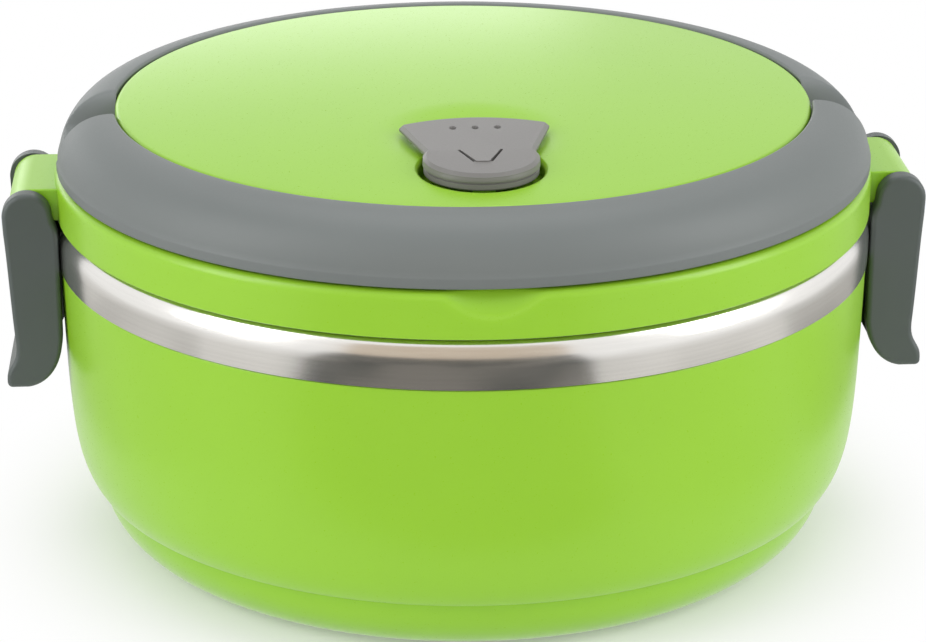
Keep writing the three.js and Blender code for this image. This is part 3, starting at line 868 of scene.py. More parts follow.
@dataclass
class Lid:
    """Green cover with panel, skirt, lugs, finger scoop and finger dish, the inner plate and the seal."""

    at: Levels
    finishes: Finishes
    wall: float = 2.2
    skirt_z: float = 62.1
    seal_z: float = 61.2
    ledge_z: float = 70.4
    skirt_round: float = 1.5
    corner_w: float = 4.8  # thick inner corner of the skirt
    corner_h: float = 3.9
    panel_r: float = 63.8
    panel_z: float = 81.4
    panel_round: float = 0.9
    dome_h: float = 2.6
    scoop_r: float = 20.0
    scoop_half: float = 18.0
    scoop_depth: float = 4.4
    scoop_reach: float = 9.0  # how far it reaches in along the ledge
    scoop_tilt: float = 54.0
    scoop_soft: float = 0.7
    dish_y: float = -29.0
    dish_r: float = 17.0
    dish_depth: float = 2.4
    lug_r: float = 4.3
    lug_half: float = 10.6
    lug_in: float = 0.7  # lug's round inside the pin and below it
    lug_sag: float = 0.5
    lug_round: float = 0.35
    pin_r: float = 1.6
    pin_half: float = 16.0
    pivot_r: float = 1.9
    valve_y: float = -46.4
    pocket_r: float = 10.8
    pocket_z: float = 79.4
    pocket_round: float = 1.0
    vent_r: float = 2.4
    ear_half: float = 2.0
    ear_r: float = 1.2
    hinge_r: float = 0.7
    hinge_half: float = 6.0
    plug_r: float = 68.9
    plug_depth: float = 3.9
    plate: float = 1.8
    flange: float = 1.5
    seal_h: float = 1.0
    fit: float = 0.3

    def build(self) -> None:
        """Builds and dresses the pieces that stay on the lid."""
        self.finishes.seat(self.cover(), "shell_plastic", "lid", "lid_cover")
        self.finishes.seat(self.insert(), "inner_plastic", "lid", "lid_inner_cover")
        self.finishes.seat(self.seal(), "silicone", "lid", "lid_seal")

    def dome(self, r: float) -> float:
        """Height of the panel's top at a distance from the axis."""
        return self.panel_z + self.dome_h * (1 - (r / self.panel_r) ** 2)

    def cover(self) -> Object:
        """Turned cover with scoop and dish pressed in, lugs and pocket added, and holes cut.

        Returns:
            The cover.
        """
        r, wall, ledge, low = self.at.skirt_r, self.wall, self.ledge_z, self.skirt_z
        inner, edge = self.panel_r - wall, self.panel_r - self.panel_round
        top = [(edge * i / 48, self.dome(edge * i / 48)) for i in range(48)]
        under = [(inner * i / 18, self.dome(inner * i / 18) - wall) for i in range(17, -1, -1)]
        shelf = [(self.panel_r + 0.4 + i * 0.9, ledge) for i in range(11)]
        side = [(r, ledge - self.skirt_round - i * 0.45) for i in range(1, 14)]
        profile = [
            *top,
            *arc(edge, self.panel_z - self.panel_round + 0.05, self.panel_round, 86, 0, 7),
            (self.panel_r, ledge + 0.4),
            *shelf,
            *arc(r - self.skirt_round, ledge - self.skirt_round, self.skirt_round, 90, 0, 8),
            *side,
            *arc(r - 0.4, low + 0.4, 0.4, 0, -90, 4),
            (r - wall, low), (r - wall, ledge - wall - self.corner_h),
            (r - wall - self.corner_w, ledge - wall), (inner, ledge - wall),
            (inner, self.panel_z - wall - 0.3),
            *under,
        ]
        piece = lathe("lid_shell", profile, ((330.0, 150), (30.0, 48)), start=105.0)
        self.press_scoop(piece)
        self.press_dish(piece)
        heights = (self.pocket_z - wall, self.panel_z - 0.4)
        cup = rod("cup", self.pocket_r + wall, heights, "Z", (0, self.valve_y), 64)
        lug = self.lug()
        change(piece, Cut.ADD, copy_of(lug, "lug_left"), lug, cup)
        change(piece, Cut.REMOVE, self.pocket())
        change(piece, Cut.ADD, self.ear())
        change(piece, Cut.REMOVE, *self.holes())
        return piece

    def holes(self) -> list[Object]:
        """Round bars for the vent and for the pins of the valve, the clips and the handle.

        Returns:
            The bars, to be cut away.
        """
        x, z = self.at.clip_pin
        near, far = self.panel_r - 6, self.panel_r + 2
        bars = [
            rod("vent", self.vent_r, (self.skirt_z, self.panel_z + 9), "Z", (0, self.valve_y)),
            rod("hinge", self.hinge_r, (-self.hinge_half, self.hinge_half), "X", self.at.valve_pin, 20),
        ]
        for side in Side:
            bars.append(rod("pin", self.pin_r, (-self.pin_half, self.pin_half), "Y", (side.value * x, z)))
            bars.append(rod("pivot", self.pivot_r, side.span(near, far), "X", self.at.handle_pin))
        return bars

    def press_scoop(self, piece: Object) -> None:
        """Presses a slanting round scoop with soft edges into the front of the skirt.

        Args:
            piece: the turned cover.
        """
        tilt = math.radians(self.scoop_tilt)
        along = Vector((0, math.cos(tilt), math.sin(tilt)))
        up = Vector((0, -math.sin(tilt), math.cos(tilt)))
        centre = Vector((0, -self.at.skirt_r, self.ledge_z - self.scoop_depth)) + up * self.scoop_r
        skin = self.at.skirt_r - self.wall - 0.2  # points inside it belong to the skirt's inner side
        for vertex in piece.data.vertices:
            p = vertex.co / MM
            r = p.xy.length
            near = p.y < 0 and abs(p.x) <= self.scoop_half and r >= skin - self.scoop_reach
            if not near or p.z < self.skirt_z + 0.1 or (p.z < self.ledge_z - 0.05 and r < skin):
                continue
            off = p - centre
            off -= along * off.dot(along)
            depth = off.dot(up) + math.sqrt(max(self.scoop_r**2 - off.x**2, 0.0))
            sunk = -soft_min(-depth, 0.0, self.scoop_soft)
            if sunk > 1e-4:
                vertex.co = (p - up * sunk) * MM

    def press_dish(self, piece: Object) -> None:
        """Presses a shallow dish for a fingertip into the panel, under the valve's tab and behind it.

        Args:
            piece: the turned cover.
        """
        for vertex in piece.data.vertices:
            p = vertex.co / MM
            reach = math.hypot(p.x, p.y - self.dish_y) / self.dish_r
            if reach < 1:
                vertex.co.z -= self.dish_depth * (1 + math.cos(math.pi * reach)) / 2 * MM

    def lug(self) -> Object:
        """Lug of the right side, round about the clip's pin.

        Returns:
            The lug.
        """
        root, low = self.at.skirt_r - self.wall * 0.7, self.skirt_z + self.fit
        pin_x, pin_z = self.at.clip_pin
        x, z, r = pin_x - self.lug_in, pin_z - self.lug_sag, self.lug_r
        outline = [(root, low), (self.at.skirt_r + 0.8, low), *arc(x, z, r, -110, 90, 32), (root, z + r)]
        ends = (-self.lug_half, self.lug_half)
        piece = bar("lug", outline, ends, "Y")
        round_rims(piece, "Y", ends, self.lug_round)
        return piece

    def pocket(self) -> Object:
        """Cutter of the valve's pocket, flared so that its mouth gets a rounded edge along the dome.

        Returns:
            The cutter.
        """
        mouth = self.dome(abs(self.valve_y))
        r, soft = self.pocket_r, self.pocket_round
        profile = [
            (0, self.pocket_z), (r - 0.3, self.pocket_z), (r, self.pocket_z + 0.3),
            *arc(r + soft, mouth - soft, soft, 180, 90, 6),
            (r + soft, mouth + 6), (0, mouth + 6),
        ]
        piece = lathe("pocket", profile, ((360.0, 96),), centre=Vector((0, self.valve_y, 0)))
        slope = math.atan(2 * self.dome_h * abs(self.valve_y) / self.panel_r**2)
        pivot = Vector((0, self.valve_y, mouth)) * MM
        tip = Matrix.Translation(pivot) @ Matrix.Rotation(slope, 4, "X") @ Matrix.Translation(-pivot)
        piece.data.transform(tip)
        return piece

    def ear(self) -> Object:
        """Ear in the pocket that holds the valve's pin.

        Returns:
            The ear.
        """
        (y, z), floor = self.at.valve_pin, self.pocket_z
        outline = [
            *arc(y, z, self.ear_r, 25, 285, 16),
            (y + 1, z - self.ear_r - 0.5), (y + 1, floor - 0.5), (y + 3.8, floor - 0.5),
            (y + 3.8, floor + 1),
        ]
        return bar("ear", outline, (-self.ear_half, self.ear_half), "X")

    def insert(self) -> Object:
        """Inner plate of the lid: a plug in the mouth, hung from a flange.

        Returns:
            The inner plate.
        """
        z0 = self.at.rim_z - self.plug_depth
        top = self.seal_z + self.seal_h + self.fit
        out, plug = self.at.skirt_r - self.wall - self.fit, self.plug_r
        corners = [
            (0, z0 + 0.6, 0), (plug - 8, z0 + 0.6, 0.8), (plug - 7, z0, 0.5), (plug, z0, 1.0),
            (plug, top, 0.2), (out, top, 0.2), (out, top + self.flange, 0.2),
            (plug - self.plate, top + self.flange, 0.2), (plug - self.plate, z0 + self.plate, 1.0),
            (0, z0 + self.plate, 0),
        ]
        piece = lathe("lid_insert", rounded(corners, 5))
        change(piece, Cut.REMOVE, rod("vent", self.vent_r, (z0 - 2, z0 + 5), "Z", (0, self.valve_y)))
        return piece

    def seal(self) -> Object:
        """Silicone ring between the insert's flange and the steel rim.

        Returns:
            The seal.
        """
        r0, r1 = self.plug_r + self.fit, self.at.skirt_r - self.wall - 2 * self.fit
        z0, z1 = self.seal_z, self.seal_z + self.seal_h
        corners = [(r0, z1, 0), (r0, z0, 0.3), (r1, z0, 0.4), (r1, z1, 0.2), (r0, z1, 0)]
        return lathe("seal_ring", rounded(corners))


@dataclass
class Ring:
    """Two halves of the grey ring: the carry handle in front and the fixed trim behind."""

    at: Levels
    finishes: Finishes
    width: float = 10.5
    proud: float = 0.4  # ring outside the CAD's
    lift: float = 0.65  # crown above the CAD's
    wall: float = 1.9  # upright outer side below the crown
    drop: float = 0.2
    inner_round: float = 0.6
    outer_round: float = 0.35
    end_y: float = -7.8
    end_round: float = 0.25
    hub: float = 9.0  # solid length at each end of the handle
    channel_wall: float = 2.0
    channel_h: float = 5.0
    tongue_x: float = 64.1
    tongue: float = 2.2
    tongue_r: float = 2.9
    tongue_root: float = 4.0
    tongue_round: float = 0.3
    pin_r: float = 1.9
    swing: float = 0.4  # clearance of what turns
    slim: float = 0.4  # trim narrower than the handle
    ramp_start: float = 1.5
    ramp_end: float = 9.5
    ramp_low: float = 0.5  # share of the ring's height
    ramp_soft: float = 0.3
    ramp_base: float = 1.5  # points below this height stay

    def build(self) -> None:
        """Builds and dresses both halves."""
        self.finishes.seat(self.handle(), "handle_plastic", "handle", "carry_handle")
        self.finishes.seat(self.trim(), "handle_plastic", "lid", "rear_trim")

    @property
    def high(self) -> float:
        """Height of the ring's section."""
        return self.at.ring_top - self.at.ring_z + self.lift

    def section(self, z: float, slim: float = 0.0) -> list[Point]:
        """Section of the ring: flat below, rounded outside and above.

        Args:
            z: its underside.
            slim: how much narrower it is than the handle's.

        Returns:
            The points of the section.
        """
        outer, inner = self.at.ring_r + self.proud - slim, self.at.ring_r - self.width
        side, top = z + self.wall, z + self.high
        soft, nose = self.inner_round, self.outer_round
        shoulder, brow = (outer - 1.0, z + 0.66 * self.high), (outer - 4.6, top - 0.1)
        return [
            (inner, z + 0.3), (inner + 0.3, z), (outer - nose, z),
            *arc(outer - nose, z + nose, nose, -90, 0, 4)[1:],
            (outer, side - 0.2), (outer - 0.08, side + 0.1),
            *bezier((outer - 0.25, side + 0.4), shoulder, brow, (inner + soft, top), 22),
            *arc(inner + soft, top - soft, soft, 90, 180, 5)[1:],
        ]

    def handle(self) -> Object:
        """Front half, with a channel below and a tongue at each end that turns on a pin.

        Returns:
            The handle.
        """
        runs = ((5.0, 1), (160.0, 80), (5.0, 1))
        piece = lathe("carry_ring", self.section(self.at.ring_z - self.drop), runs, start=5.0, solid=True)
        cut_across(piece, self.end_y, use_fill=True, clear_outer=True)
        reach = (self.end_y - self.hub) * MM
        select(piece, Part.FACES, lambda f: f.normal.z < -0.995 and f.calc_center_median().y < reach)
        bpy.ops.mesh.inset(thickness=self.channel_wall * MM)
        push(Vector((0, 0, self.channel_h)))
        close_up()
        round_rims(piece, "Y", (self.end_y,), self.end_round, 4)
        change(piece, Cut.ADD, *(self.tongue_plate(side) for side in Side))
        spans = [side.span(self.tongue_x - 3, self.tongue_x + 3.4) for side in Side]
        change(piece, Cut.REMOVE, *(rod("pin", self.pin_r, ends, "X", self.at.handle_pin) for ends in spans))
        return piece

    def tongue_plate(self, side: Side) -> Object:
        """Plate at an end of the handle, round about the pivot.

        Args:
            side: which end.

        Returns:
            The plate.
        """
        y, z = self.at.handle_pin
        r, root = self.tongue_r, self.end_y - self.tongue_root
        ends = side.span(self.tongue_x, self.tongue_x + self.tongue)
        piece = bar("tongue", [(root, z - r), *arc(y, z, r, -90, 90, 28), (root, z + r)], ends, "X")
        round_rims(piece, "X", ends, self.tongue_round)
        return piece

    def trim(self) -> Object:
        """Rear half, seated on the ledge and ramped down behind the handle's ends.

        Returns:
            The trim.
        """
        z, front = self.at.trim_z, self.end_y + self.swing
        runs = ((-24.0, 60), (-152.0, 76), (-24.0, 60))
        piece = lathe("trim_ring", self.section(z, self.slim), runs, start=10.0, solid=True)
        cut_across(piece, front, use_fill=True, clear_inner=True)
        self.press_ramp(piece, front, z)
        slot_x = self.tongue_x + self.tongue + self.swing
        slot_y = self.at.handle_pin[0] + self.tongue_r + self.swing
        square = [(front - 9, z - 9), (slot_y, z - 9), (slot_y, z + 20), (front - 9, z + 20)]
        for side in Side:
            change(piece, Cut.REMOVE, bar("slot", square, side.span(slot_x - 8, slot_x), "X"))
        return piece

    def press_ramp(self, piece: Object, front: float, z: float) -> None:
        """Lowers the top of the trim to a ramp near its ends, with a soft crest.

        Args:
            piece: the trim.
            front: where the ramp starts, on Y.
            z: the trim's underside.
        """
        low, top = z + self.ramp_low * self.high, z + self.high + self.ramp_soft
        start, end = self.ramp_start, self.ramp_end
        rise = bezier((start, low), (start + 1.7, low), (start + 2.1, top), (end, top), 60)
        line = [(front - 1, low), *rise]
        for vertex in piece.data.vertices:
            p = vertex.co / MM
            if p.z < z + self.ramp_base:
                continue
            for a, b in zip(line, line[1:]):
                if a[0] <= p.y < b[0]:
                    limit = a[1] + (b[1] - a[1]) * (p.y - a[0]) / (b[0] - a[0])
                    vertex.co.z = soft_min(p.z, limit, self.ramp_soft) * MM


@dataclass
class Clips:
    """Two side clips: cheeks about the lug, a web below it, and a ridge over the catch."""

    at: Levels
    finishes: Finishes
    pin_r: float = 1.6
    half: float = 14.0
    cheek: float = 3.1
    skin: float = 1.0  # outside the pin's ends
    top_r: float = 4.45
    sag: float = 0.6  # clip's round below the pin
    tuck: float = 0.7  # inner edge inside the skirt
    length: float = 32.9
    waist: float = 1.4
    waist_rise: float = 8.4
    tip_round: float = 0.95
    web_in: float = 0.9
    web_low: float = 2.2
    lug_r: float = 4.3
    edge_round: float = 0.9
    ridge_x: float = 78.1
    ridge_z: float = 50.8
    ridge_half: float = 8.6

    def build(self) -> None:
        """Builds the right clip and its twin."""
        right = self.clip()
        left = copy_of(right, "clip_lever_left")
        self.finishes.seat(right, "clip_plastic", "right_clip", "clip_right")
        self.finishes.seat(left, "clip_plastic", "left_clip", "clip_left")

    @property
    def z(self) -> float:
        """Height of the round top's centre."""
        return self.at.clip_pin[1] - self.sag

    def outline(self) -> list[Point]:
        """Side outline of the right clip, from its inner edge round its top and down to its lip.

        Returns:
            The points of the outline.
        """
        x, z, r = self.at.clip_pin[0], self.z, self.top_r
        low, inner = z - self.length, self.at.skirt_r - self.tuck
        waist, mid = x + r - self.waist, low + self.waist_rise
        tip, back, soft = x + r + 0.5, x + r - 0.1, self.tip_round
        return [
            (inner, low + 11), (inner, z - r - 1),
            *bezier((inner, z - r), (inner, z - 1.5), (x - r, z - 1.5), (x - r, z), 6),
            *arc(x, z, r, 180, 0, 28)[1:],
            *bezier((back, z - 3), (back - 0.5, z - 9), (waist + 0.6, mid + 8), (waist, mid), 12),
            *bezier((waist, mid - 1), (waist + 0.1, mid - 4), (tip, low + 4), (tip, low + 1.6), 10),
            *arc(tip - soft, low + soft, soft, 0, -90, 6),
            *bezier((x + 1, low), (x - 2.6, low + 0.5), (inner, low + 4), (inner, low + 10.5), 14),
        ]

    def clip(self) -> Object:
        """Clip of the right side, rounded along its edges.

        Returns:
            The right clip.
        """
        x, z = self.at.clip_pin[0], self.z
        ends = (-self.half, self.half)
        piece = bar("clip_lever_right", self.outline(), ends, "Y")
        round_rims(piece, "Y", ends, self.edge_round, 4)
        web, web_top, web_low = x - self.web_in, z - self.lug_r - 1.6, z - self.length + self.web_low
        gap = [
            (x - 20, web_low, 0), (web, web_low, 0.8), (web, web_top, 0.6), (x + 20, web_top, 0),
            (x + 20, z + 20, 0), (x - 20, z + 20, 0),
        ]
        ridge = [
            (web + 1, self.ridge_z - 2), (web + 1, self.ridge_z + 2),
            (self.ridge_x, self.ridge_z + 0.6), (self.ridge_x, self.ridge_z - 0.6),
        ]
        inside, deep = self.half - self.cheek, self.half - self.skin
        change(piece, Cut.REMOVE, bar("gap", rounded(gap), (-inside, inside), "Y"))
        change(piece, Cut.ADD, bar("ridge", ridge, (-self.ridge_half, self.ridge_half), "Y"))
        change(piece, Cut.REMOVE, rod("pin", self.pin_r, (-deep, deep), "Y", self.at.clip_pin))
        return piece


@dataclass
class Valve:
    """Vent valve: a lever with a round head and flared tab, and the soft stopper under it."""

    at: Levels
    finishes: Finishes
    head_r: float = 10.0
    head_h: float = 3.4
    plate: float = 1.15
    collar: float = 0.75
    step: float = 0.25  # groove below the collar
    step_in: float = 0.35
    neck: float = 18.0  # degrees behind the head's sides where the tab starts
    tab_half: float = 13.2
    tab_tip: float = 17.9  # corners and middle of the tab behind the head's centre
    tab_reach: float = 21.8
    edge: float = 0.15
    chamfer: float = 0.6
    brow_y: float = 2.6  # line behind the head's centre where the brow's tilt starts
    brow_tilt: float = 1.6
    slit_w: float = 0.5
    slit_deep: float = 1.5
    dimple_r: float = 0.6
    dimple_gap: float = 3.9
    dimple_y: float = 15.3
    dimple_long: float = 1.7  # length against width
    pin_r: float = 0.7
    pin_half: float = 5.0
    ear_half: float = 2.4
    ear_r: float = 1.45
    slot_back: float = 4.3  # end of the ear's slot behind the pin
    stopper_r: float = 3.4
    nose_r: float = 1.8
    nose: float = 1.2
    seat_z: float = 79.8
    fit: float = 0.3

    def build(self) -> None:
        """Builds and dresses the lever and the stopper."""
        self.finishes.seat(self.lever(), "valve_plastic", "valve", "valve_lever")
        self.finishes.seat(self.stopper(), "silicone", "valve", "valve_stopper")

    @property
    def y(self) -> float:
        """Centre of the round head on Y."""
        return self.at.valve_front + self.head_r

    def outline(self) -> list[Point]:
        """Plan of the top plate: round head in front, flared tab behind.

        Returns:
            The points of the plan.
        """
        y, tip = self.y, self.y + self.tab_tip
        head = arc(0, y, self.head_r, 180 - self.neck, 360 + self.neck, 56)
        side, end = self.tab_half - 0.5, tip + 0.3
        pull = (4 * (y + self.tab_reach) - end) / 3  # takes the bow's middle to tab_reach
        bow = bezier((side, end), (side / 3, pull), (-side / 3, pull), (-side, end), 24)
        return [*head, (self.tab_half, tip - 0.6), *bow, (-self.tab_half, tip - 0.6)]

    def lever(self) -> Object:
        """Lever: plate and head with a groove between, tilted brow, slits, dimples and the ear's slot.

        Returns:
            The lever.
        """
        top, y, r = self.at.valve_top, self.y, self.head_r
        under, low = top - self.plate, top - self.head_h
        collar = under - self.collar
        piece = bar("vent_lever", self.outline(), (under, top), "Z")
        round_rims(piece, "Z", (top,), self.chamfer, 1)
        round_rims(piece, "Z", (under,), self.edge)
        self.tilt_brow(piece)
        head = [
            (0, under + 0.3), (r - 0.15, under + 0.3), (r + 0.05, under - 0.1),
            (r + 0.05, collar + 0.1), (r - self.step_in, collar),
            (r - self.step_in, collar - self.step), (r - 0.1, collar - self.step - 0.15),
            (r - 0.1, low + 0.3), (r - 0.4, low), (0, low),
        ]
        change(piece, Cut.ADD, lathe("head", head, ((360.0, 96),), centre=Vector((0, y, 0))), self.flap())
        change(piece, Cut.REMOVE, *(self.slit(side) for side in (Side.LEFT, Side.RIGHT)), *self.dimples())
        change(piece, Cut.REMOVE, *self.pin_cuts())
        edit(piece)
        bpy.ops.mesh.dissolve_limited(angle_limit=math.radians(0.2))
        close_up()
        return piece

    def tilt_brow(self, piece: Object) -> None:
        """Tilts the head's front part of the plate a little forwards, from a line behind its centre.

        Args:
            piece: the plate.
        """
        line = Vector((0, self.y + self.brow_y, self.at.valve_top))
        cut_across(piece, line.y)
        select(piece, Part.VERTS, lambda v: v.co.y / MM < line.y - ON_PLANE)
        bpy.ops.transform.rotate(
            value=math.radians(-self.brow_tilt),
            orient_axis="X",
            orient_type="GLOBAL",
            center_override=line * MM,
        )
        close_up()

    def flap(self) -> Object:
        """Level tongue of the tab that reaches into the tilted head between the slits.

        Returns:
            The flap.
        """
        top, back, tip = self.at.valve_top, self.y + self.brow_y + 0.4, self.y - 3.6
        plan = rounded([(-4.2, back, 0), (-1.3, tip, 0.8), (1.3, tip, 0.8), (4.2, back, 0)])
        return bar("flap", plan, (top - self.plate, top), "Z")

    def slit(self, side: Side) -> Object:
        """Cutter of a slit beside the flap.

        Args:
            side: which side of the flap.

        Returns:
            The cutter.
        """
        top, y, sign = self.at.valve_top, self.y, side.value
        a, b = Vector((sign * 3.7, y + 2.7)), Vector((sign * 1.45, y - 3.4))
        across = Vector((a.y - b.y, b.x - a.x)).normalized() * (self.slit_w / 2)
        plan = [tuple(p) for p in (a + across, b + across, b - across, a - across)]
        return bar("slit", plan, (top - self.slit_deep, top + 1), "Z")

    def dimples(self) -> list[Object]:
        """Cutters of the three oval dimples near the tab's rear edge.

        Returns:
            The cutters.
        """
        r = self.dimple_r
        bowl = [(0, -0.7), (r * 0.7, -0.65), (r, -0.1), (r + 0.2, 0.6), (0, 0.6)]
        there = Matrix.Translation((0, (self.y + self.dimple_y) * MM, 0))
        cutters = []
        for x in (-self.dimple_gap, 0, self.dimple_gap):
            cutters.append(lathe("dimple", bowl, ((360.0, 24),), centre=Vector((x, 0, self.at.valve_top))))
            cutters[-1].data.transform(there @ Matrix.Diagonal((1, self.dimple_long, 1, 1)))
        return cutters

    def pin_cuts(self) -> list[Object]:
        """Cutters of the slot that clears the lid's ear and of the pin's hole.

        Returns:
            The cutters.
        """
        (y, z), r, top = self.at.valve_pin, self.ear_r, self.at.valve_top
        back, low = y + self.slot_back, top - self.head_h - 2
        slot = [(y - r, low), (back, low), (back, top - 4.2), *arc(y, z, r, 25, 180, 12)]
        return [
            bar("slot", slot, (-self.ear_half, self.ear_half), "X"),
            rod("pin", self.pin_r, (-self.pin_half, self.pin_half), "X", (y, z), 20),
        ]

    def stopper(self) -> Object:
        """Soft stopper with a nose for the vent hole.

        Returns:
            The stopper.
        """
        top, seat = self.at.valve_top - self.head_h - self.fit, self.seat_z
        corners = [
            (0, top, 0), (self.stopper_r, top, 0.3), (self.stopper_r, seat, 0.3),
            (self.nose_r, seat, 0.1), (self.nose_r - 0.3, seat - self.nose, 0.4),
            (0, seat - self.nose, 0),
        ]
        return lathe("vent_stopper", rounded(corners), ((360.0, 48),), centre=Vector((0, self.y, 0)))


# Studio


@dataclass(frozen=True)
class Card:
    """Glowing sheet that only reflections show: it paints a grey reflection into the steel, in two blotchy
    greys that fade to white away from the container.
    """

    name: str
    light: str
    dark: str
    fade: Point  # metres from the container's foot
    corners: Sequence[Place]  # mm
    blotch: float = 90.0  # mm

    def build(self) -> None:
        """Draws the card and hides it from all but reflections."""
        card = draw_line(self.name, [Vector(corner) for corner in self.corners])
        bpy.ops.mesh.edge_face_add()
        close_up()
        card.data.materials.append(self.material())
        card.visible_camera = card.visible_diffuse = card.visible_shadow = False

    def material(self) -> bpy.types.Material:
        """Builds the node material.

        Returns:
            The material.
        """
        # the sheet glows and is lit by nothing: its greys are painted reflections for the steel, not lit
        # paper
        material, tree, place = new_material(f"{self.name}_paper")
        wide = {"Scale": 1 / (self.blotch * MM), "Detail": 1.0}
        blotch = add_node(tree, "TexNoise", wide, {"Vector": place})
        share = add_node(
            tree,
            "MapRange",
            {"From Min": 0.4, "From Max": 0.6},
            {"Value": blotch.outputs["Fac"]},
            interpolation_type="SMOOTHSTEP",
        )
        greys = {MIX_A: linear(self.light), MIX_B: linear(self.dark)}
        grey = add_node(tree, "Mix", greys, {0: share.outputs["Result"]}, data_type="RGBA")
        # painted reflection: grey near the container, standing in for the floor's shade beside it, fading to
        # white further off
        reach = add_node(tree, "VectorMath", links={0: place}, operation="LENGTH")
        ends = {"From Min": self.fade[0], "From Max": self.fade[1]}
        gone = add_node(tree, "MapRange", ends, {"Value": reach.outputs["Value"]})
        fade = {0: gone.outputs["Result"], MIX_A: grey.outputs[MIX_RESULT]}
        shade = add_node(tree, "Mix", {MIX_B: WHITE}, fade, data_type="RGBA")
        glow = add_node(tree, "Emission", {"Strength": 1.0}, {"Color": shade.outputs[MIX_RESULT]})
        add_node(tree, "OutputMaterial", links={"Surface": glow.outputs[0]})
        return material


# Glowing sheets that paint the reflections in the steel band: greys on the floor round the container, those
# beside it darker near it as painted shade of the floor, and a warm one upright in front
CARDS = (
    Card(
        "floor_card",
        "#807D78",
        "#4E504E",
        (3.0, 4.0),
        ((-95, -105, 1), (52, -105, 1), (680, -1500, 1), (-1150, -1500, 1)),
    ),
    Card(
        "wall_card",
        "#D9CCBC",
        "#CDBDAA",
        (3.0, 4.0),
        ((-1050, -1500, 1), (650, -1500, 1), (650, -1500, 1300), (-1050, -1500, 1300)),
    ),
    Card(
        "left_card",
        "#D2D0CC",
        "#BCBAB6",
        (0.16, 0.42),
        ((-110, -60, 1), (-110, 280, 1), (-430, 280, 1), (-430, -150, 1)),
    ),
    Card(
        "right_card",
        "#B0AEA9",
        "#95938F",
        (0.16, 0.42),
        ((110, -20, 1), (110, 280, 1), (430, 280, 1), (430, -80, 1)),
    ),
    Card(
        "left_front_card",
        "#DEDCD8",
        "#CECCC8",
        (0.17, 0.36),
        ((-98, -108, 1), (-110, -62, 1), (-430, -152, 1), (-560, -720, 1)),
    ),
    Card(
        "right_front_card",
        "#DEDCD8",
        "#CECCC8",
        (0.17, 0.36),
        ((56, -112, 1), (110, -22, 1), (430, -82, 1), (300, -640, 1)),
    ),
)


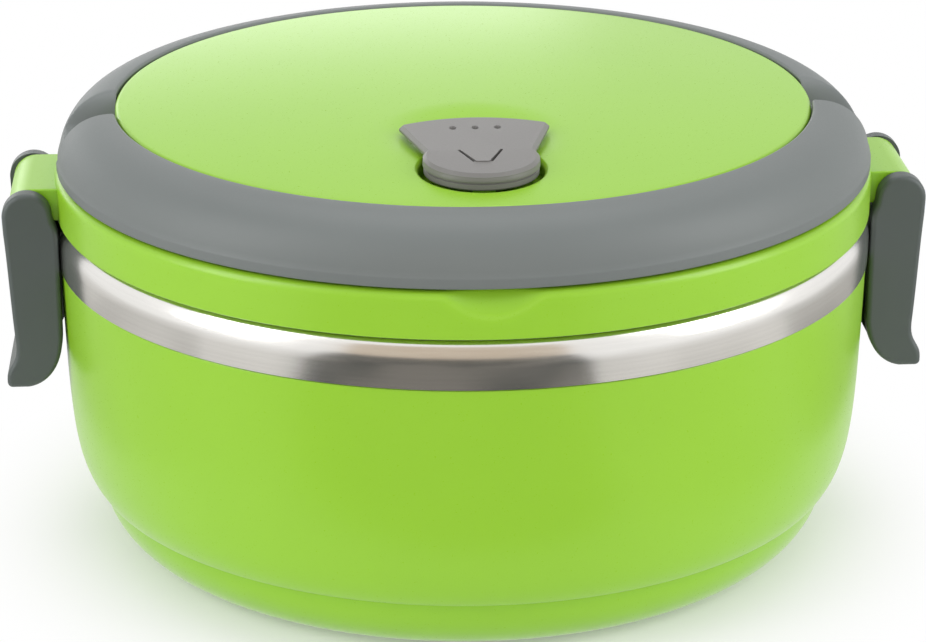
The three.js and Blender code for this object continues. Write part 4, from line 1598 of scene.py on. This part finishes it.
@dataclass
class Studio:
    """Camera at the photographed angle, pale floor, glowing cards that paint reflections into the steel,
    soft lamps and a white surround.
    """

    azimuth: float = -3.9  # degrees
    elevation: float = 20.84
    distance: float = 0.6  # metres, as all lengths here
    aim_z: float = 0.037
    lamp_aim_z: float = 0.04
    floor_r: float = 6.0
    floor_z: float = -0.0001
    focal_px: float = 3171.0
    frame_px: float = 926.0
    sensor: float = 36.0  # mm

    def build(self) -> None:
        """Sets up the camera, the floor, the cards, the lamps and the world."""
        self.camera()
        self.floor()
        for card in CARDS:
            card.build()
        self.lamps()
        self.world()
        bpy.context.scene.view_settings.view_transform = "Standard"

    def camera(self) -> None:
        """Places the camera."""
        a, e = math.radians(self.azimuth), math.radians(self.elevation)
        back = Vector((math.sin(a) * math.cos(e), -math.cos(a) * math.cos(e), math.sin(e)))
        data = bpy.data.cameras.new("camera")
        data.sensor_width = self.sensor
        data.lens = self.focal_px / self.frame_px * self.sensor
        data.clip_start, data.clip_end = 0.01, 50.0
        camera = bpy.data.objects.new("camera", data)
        camera.location = Vector((0, 0, self.aim_z)) + back * self.distance
        camera.rotation_mode = "QUATERNION"
        camera.rotation_quaternion = (-back).to_track_quat("-Z", "Y")
        bpy.context.scene.collection.objects.link(camera)
        bpy.context.scene.camera = camera

    def floor(self) -> None:
        """Pale floor that keeps the shadow and fades to white away from the object."""
        deselect()
        where = (0, 0, self.floor_z)
        bpy.ops.mesh.primitive_circle_add(vertices=96, radius=self.floor_r, fill_type="NGON", location=where)
        floor = bpy.context.object
        floor.name = "floor"
        material, tree, place = new_material("floor_paper")
        reach = add_node(tree, "VectorMath", links={0: place}, operation="LENGTH")
        path = add_node(tree, "LightPath")
        shares = []
        for ray, near, far in (
            ("Is Camera Ray", 0.045, 0.1),
            ("Is Glossy Ray", 0.0, 0.04),
            ("Is Transmission Ray", 0.0, 0.04),
        ):
            fade = add_node(
                tree,
                "MapRange",
                {"From Min": near, "From Max": far},
                {"Value": reach.outputs["Value"]},
                interpolation_type="SMOOTHSTEP",
            )
            pair = {0: path.outputs[ray], 1: fade.outputs["Result"]}
            shares.append(add_node(tree, "Math", links=pair, operation="MULTIPLY").outputs[0])
        white = shares[0]
        for share in shares[1:]:
            white = add_node(tree, "Math", links={0: white, 1: share}, operation="MAXIMUM").outputs[0]
        paper = add_node(tree, "BsdfDiffuse", {"Color": linear("#F4F4F2")})
        glow = add_node(tree, "Emission", {"Color": WHITE, "Strength": 1.0})
        mix = add_node(tree, "MixShader", links={0: white, 1: paper.outputs[0], 2: glow.outputs[0]})
        add_node(tree, "OutputMaterial", links={"Surface": mix.outputs[0]})
        floor.data.materials.append(material)

    def lamps(self) -> None:
        """Soft boxes above, left, right, in front and low behind."""
        aim = Vector((0, 0, self.lamp_aim_z))
        for name, place, size, watts in (
            ("top_box", (0.0, 0.3, 1.1), (1.0, 0.8), 4.2),
            ("left_box", (-0.95, -0.35, 0.5), (0.5, 0.95), 5.5),
            ("right_box", (0.95, -0.35, 0.5), (0.5, 0.95), 5.7),
            ("front_fill", (0.0, -1.2, 0.36), (0.9, 0.4), 2.4),
            ("rear_strip", (-0.5, 1.5, 0.24), (1.5, 0.26), 2.4),
        ):
            data = bpy.data.lights.new(name, "AREA")
            data.shape = "RECTANGLE"
            data.size, data.size_y = size
            data.energy = watts
            lamp = bpy.data.objects.new(name, data)
            lamp.location = place
            lamp.visible_glossy = name != "front_fill"
            lamp.rotation_mode = "QUATERNION"
            lamp.rotation_quaternion = (aim - Vector(place)).to_track_quat("-Z", "Y")
            bpy.context.scene.collection.objects.link(lamp)

    def world(self) -> None:
        """White surround to the eye and in reflections, softer as a light."""
        world = bpy.data.worlds.new("surround")
        bpy.context.scene.world = world
        world.use_nodes = True
        tree = world.node_tree
        tree.nodes.clear()
        path = add_node(tree, "LightPath")
        seen = path.outputs["Is Camera Ray"]
        for ray in ("Is Glossy Ray", "Is Transmission Ray"):
            pair = {0: seen, 1: path.outputs[ray]}
            seen = add_node(tree, "Math", links=pair, operation="MAXIMUM").outputs[0]
        strength = add_node(tree, "MapRange", {"To Min": 0.5, "To Max": 1.0}, {"Value": seen})
        glow = add_node(tree, "Background", {"Color": WHITE}, {"Strength": strength.outputs["Result"]})
        add_node(tree, "OutputWorld", links={"Surface": glow.outputs[0]})


def dress_hidden_pins(nodes: dict[str, Object], finishes: Finishes) -> None:
    """Gives the pins, which stay as the frame has them, their steel.

    Args:
        nodes: the frame's nodes by name.
        finishes: the materials.
    """
    for name, node in nodes.items():
        if name.endswith("_pin") or "_pin_" in name:
            finishes.dress(node, "stainless")
            LOG.info("%s: kept from the frame", name)


def main() -> None:
    """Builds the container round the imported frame."""
    logging.basicConfig(level=logging.INFO, format="%(message)s")
    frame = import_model()
    finishes = Finishes()
    levels = Levels.read()
    Base(levels, finishes).build()
    Lid(levels, finishes).build()
    Ring(levels, finishes).build()
    Clips(levels, finishes).build()
    Valve(levels, finishes).build()
    dress_hidden_pins(frame["nodes"], finishes)
    Studio().build()
    deselect()


if __name__ == "__main__":
    main()
